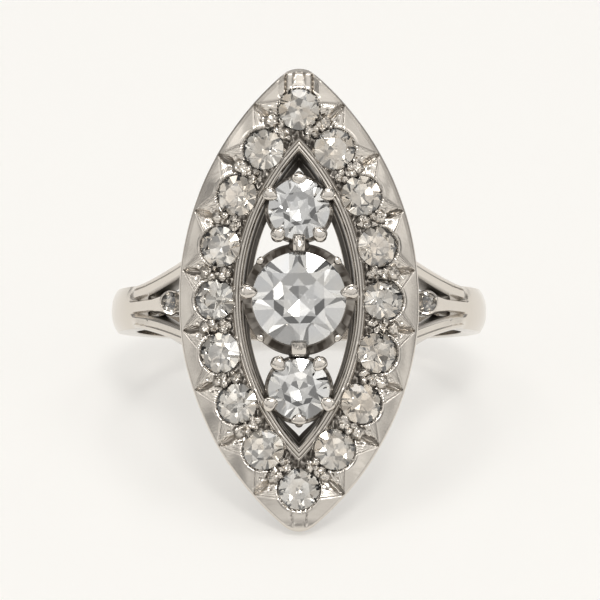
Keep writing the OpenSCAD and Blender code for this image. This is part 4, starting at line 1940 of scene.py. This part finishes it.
    def spark_cup(self, sheet: Sheet, mirror: float) -> None:
        """Adds the tube that holds a shoulder stone, with its four small grains.

        Args:
            sheet: Where it goes.
            mirror: 1 for the right shoulder, -1 for the left one.
        """
        x, z = self.spark_place
        r = self.spark_diameter / 2
        profile = [
            (r - 0.05, -1.8), (r + 0.1, -1.8), (r + 0.13, -0.6), (r + 0.13, -0.02),
            (r + 0.09, 0.03), (r + 0.03, 0.02), (r + 0.012, -0.04), (r - 0.06, -0.14),
            (r * 0.5, -0.42), (r * 0.5, -1.7), (r - 0.05, -1.8),
        ]
        steps = 48
        turn = full_turn(steps)
        rings = [
            np.column_stack((mirror * x + a * np.cos(turn), a * np.sin(turn), np.full(steps, z + b)))
            for a, b in profile
        ]
        sheet.grid(np.array(rings), 0.05)
        reach = r + 0.02
        for a in np.radians((20.0, 110.0, 200.0, 290.0)):
            at = np.array([mirror * x + reach * math.cos(a), reach * math.sin(a), z])
            sheet.tube(np.array([at - UP * 0.12, at + UP * 0.04]), 0.08, 10)

    def build(self, finishes: Finishes) -> None:
        """Builds the band, the leaves and the cups of the shoulder stones.

        Args:
            finishes: The materials.
        """
        shank, cups = Sheet(), Sheet()
        self.band(shank)
        pairs = self.stations(49)
        places = [outer[0] for outer, _ in pairs]
        halves = [self.half_width(x) for x in places]
        edges = [self.leaf_edge(x) if x < self.slit_x else self.middle_leaf for x in places]
        middle = [self.middle_half(x) for x in places]
        for mirror in (1.0, -1.0):
            self.strip(shank, pairs, edges, halves, mirror, (0.3, 0.0))
            self.strip(shank, pairs, [-h for h in halves], [-e for e in edges], mirror, (0.0, 0.3))
            self.strip(shank, pairs, [-m for m in middle], middle, mirror)
            self.spark_cup(cups, mirror)
        shank.piece("shank", finishes.metal, 35.0)
        cups.piece("shoulder_cups", finishes.bright, 50.0)
        x, z = self.spark_place
        for name, mirror in (("shoulder_stone_left", -1.0), ("shoulder_stone_right", 1.0)):
            Stone(name, self.spark_diameter, (mirror * x, 0.0, z), turn=11.0).build(finishes.diamond)


@dataclass(frozen=True)
class Card:
    """Soft bright or dark card that the polished metal and the stones mirror.

    Args:
        azimuth: Its direction around the ring in degrees, 0 at the camera's side, 90 at the right.
        elevation: Its height above the horizon, in degrees.
        size: Half of its angle, in degrees.
        softness: Width of its soft edge, in degrees.
        level: Its brightness.
    """

    azimuth: float
    elevation: float
    size: float
    softness: float
    level: float

    def direction(self) -> tuple[float, float, float]:
        """Unit vector towards the card."""
        a, e = math.radians(self.azimuth), math.radians(self.elevation)
        return math.sin(a) * math.cos(e), -math.cos(a) * math.cos(e), math.sin(e)


@dataclass(frozen=True)
class Lamp:
    """Square soft light that faces the ring.

    Args:
        name: Its name.
        place: Where it hangs, in metres.
        size: Its width, in metres.
        power: Its power, in watts.
    """

    name: str
    place: tuple[float, float, float]
    size: float
    power: float


@dataclass
class Studio:
    """Floor, soft lights, the room that the metal mirrors, and the camera.

    Args:
        distance: Distance from the camera to the middle of the head's face, in metres.
        elevation: Height of the camera above the horizon, in degrees.
        view_width: Width that the picture covers at that distance, in metres.
        target: Middle of the head's face in the picture, in its 600 by 600 pixels.
        room: Brightness of the room.
        contrast: How uneven the room is, for the stones to sparkle.
        quiet: The even part of the room, which the flat metal mirrors.
        tint: Colour of the room's light.
        cards: What stands in the room.
        facet_cards: Small even cards, each where a facet of the middle stone looks.
        lamps: A soft light above the camera, one behind the ring, and small ones for its sparkle.
    """

    distance: float = 0.326
    elevation: float = 24.0
    view_width: float = 0.0303
    target: tuple[float, float] = (299.0, 299.0)
    room: float = 0.42
    contrast: float = 0.65
    quiet: Card = Card(0.0, 31.0, 14.0, 10.0, 1.0)
    tint: tuple[float, float, float] = (1.0, 0.985, 0.96)
    cards: tuple[Card, ...] = (
        Card(0.0, 78.0, 28.0, 46.0, 1.02),
        Card(180.0, 55.0, 22.0, 18.0, 0.3),
        Card(180.0, 12.0, 30.0, 20.0, 0.6),
        Card(-40.0, 56.0, 3.0, 2.0, 2.4),
        Card(50.0, 50.0, 3.0, 2.0, 2.4),
        Card(22.0, 66.0, 4.0, 3.0, 1.6),
        Card(-10.0, 6.0, 5.0, 4.0, 1.1),
        Card(6.0, 46.0, 6.0, 3.0, 0.17),
        Card(-34.0, 72.0, 7.0, 3.0, 0.2),
        Card(38.0, 74.0, 7.0, 3.0, 0.2),
        Card(80.0, 48.0, 10.0, 4.0, 0.12),
        Card(-80.0, 44.0, 10.0, 4.0, 0.12),
        Card(-88.0, 14.0, 14.0, 16.0, 0.4),
        Card(86.0, 18.0, 12.0, 16.0, 0.4),
    )
    facet_cards: tuple[Card, ...] = (
        Card(28.0, 36.0, 3.0, 3.0, 0.74),
        Card(-28.0, 36.0, 3.0, 3.0, 0.7),
        Card(28.0, 17.0, 3.0, 3.0, 0.72),
        Card(-27.0, 16.0, 3.0, 3.0, 0.63),
        Card(-24.0, 59.0, 3.0, 3.0, 0.45),
        Card(22.0, 60.0, 3.0, 3.0, 0.42),
        Card(48.0, 38.0, 3.0, 2.0, 1.0),
        Card(-11.0, -2.0, 3.0, 2.0, 0.35),
    )
    lamps: tuple[Lamp, ...] = (
        Lamp("front_light", (0.04, -0.42, 0.5), 0.13, 1.0),
        Lamp("top_light", (0.02, 0.22, 0.58), 0.28, 0.62),
        Lamp("left_light", (-0.42, -0.4, 0.45), 0.1, 0.03),
        Lamp("right_light", (0.4, -0.5, 0.5), 0.08, 0.05),
    )

    def build(self, finishes: Finishes) -> None:
        """Builds all of it.

        Args:
            finishes: The materials.
        """
        self.camera()
        self.floor(finishes.floor)
        self.world()
        for lamp in self.lamps:
            self.light(lamp)
        view = bpy.context.scene.view_settings
        view.view_transform = "Standard"
        view.look = "None"
        view.exposure = 0.0
        LOG.info("studio: camera, floor, room and lights")

    def camera(self) -> None:
        """Stands the camera at the photograph's angle to the ring."""
        head = RING.place(0.0, 0.0, Dome().crest)
        rise = math.radians(self.elevation)
        away = Vector((0.0, -math.cos(rise), math.sin(rise)))
        data = bpy.data.cameras.new("camera")
        data.sensor_width = 36.0
        data.lens = data.sensor_width * self.distance / self.view_width
        picture = 600.0
        data.shift_x = (picture / 2 - self.target[0]) / picture
        data.shift_y = (self.target[1] - picture / 2) / picture
        data.clip_start, data.clip_end = 0.01, 10.0
        camera = bpy.data.objects.new("camera", data)
        camera.location = head + away * self.distance
        camera.rotation_euler = (-away).to_track_quat("-Z", "Y").to_euler()
        bpy.context.scene.collection.objects.link(camera)
        bpy.context.scene.camera = camera

    def floor(self, material: Material) -> None:
        """Lays the floor under the ring."""
        half = 2.0
        corners = [(-half, -half, 0), (half, -half, 0), (half, half, 0), (-half, half, 0)]
        mesh = bpy.data.meshes.new("floor")
        mesh.from_pydata(corners, [], [(0, 1, 2, 3)])
        mesh.materials.append(material)
        floor = bpy.data.objects.new("floor", mesh)
        bpy.context.scene.collection.objects.link(floor)

    def world(self) -> None:
        """Builds the room: an even light with soft bright and dark cards in it."""
        world = bpy.data.worlds.new("room")
        world.use_nodes = True
        wiring = Wiring(world.node_tree)
        where = wiring.add("ShaderNodeTexCoord", "Generated")
        level = self.room
        for card in self.cards:
            level = self.hang(wiring, where, card, level)
        patches = wiring.add("ShaderNodeTexVoronoi", "Color", {"Scale": 8.0, "Vector": where})
        uneven = wiring.remap(patches, (0.35, 0.65), (1.0 - self.contrast, 1.0 + self.contrast))
        level = wiring.maths("MULTIPLY", level, self.hang(wiring, where, self.quiet, uneven))
        for card in self.facet_cards:
            level = self.hang(wiring, where, card, level)
        wiring.feed(world.node_tree.nodes["Background"], {"Color": (*self.tint, 1.0), "Strength": level})
        bpy.context.scene.world = world

    def hang(
        self, wiring: Wiring, where: NodeSocket, card: Card, behind: NodeSocket | float
    ) -> NodeSocket:
        """Hangs a card in front of what is there.

        Args:
            wiring: The world's wiring.
            where: Its coordinates.
            card: The card.
            behind: Brightness behind it.

        Returns:
            The socket with the brightness.
        """
        both = {0: where, 1: card.direction()}
        near = wiring.add("ShaderNodeVectorMath", "Value", both, operation="DOT_PRODUCT")
        edge, core = (math.cos(math.radians(size)) for size in (card.size + card.softness, card.size))
        spot = wiring.remap(near, (edge, core), (0.0, 1.0), "SMOOTHSTEP")
        feeds = {"A": behind, "B": card.level, "Factor": spot}
        return wiring.add("ShaderNodeMix", "Result", feeds, data_type="FLOAT")

    def light(self, lamp: Lamp) -> None:
        """Hangs a light.

        Args:
            lamp: Its sizes.
        """
        data = bpy.data.lights.new(lamp.name, "AREA")
        data.size = lamp.size
        data.energy = lamp.power
        data.color = self.tint
        light = bpy.data.objects.new(lamp.name, data)
        light.location = lamp.place
        aim = RING.place(0.0, 0.0, 8.0) - Vector(lamp.place)
        light.rotation_euler = aim.to_track_quat("-Z", "Y").to_euler()
        bpy.context.scene.collection.objects.link(light)


def main() -> None:
    """Builds the ring and its studio."""
    logging.basicConfig(level=logging.INFO, format="%(message)s")
    finishes = Finishes()
    Studio().build(finishes)
    head = Head()
    face = head.face(finishes.metal)
    head.back(finishes.metal)
    head.seat_tubes(finishes.metal)
    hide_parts("mount")
    Grains().build(finishes.bright)
    BorderStones().build(finishes.old_diamond)
    CentreRow().build(finishes)
    Shank().build(finishes)
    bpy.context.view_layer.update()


if __name__ == "__main__":
    main()
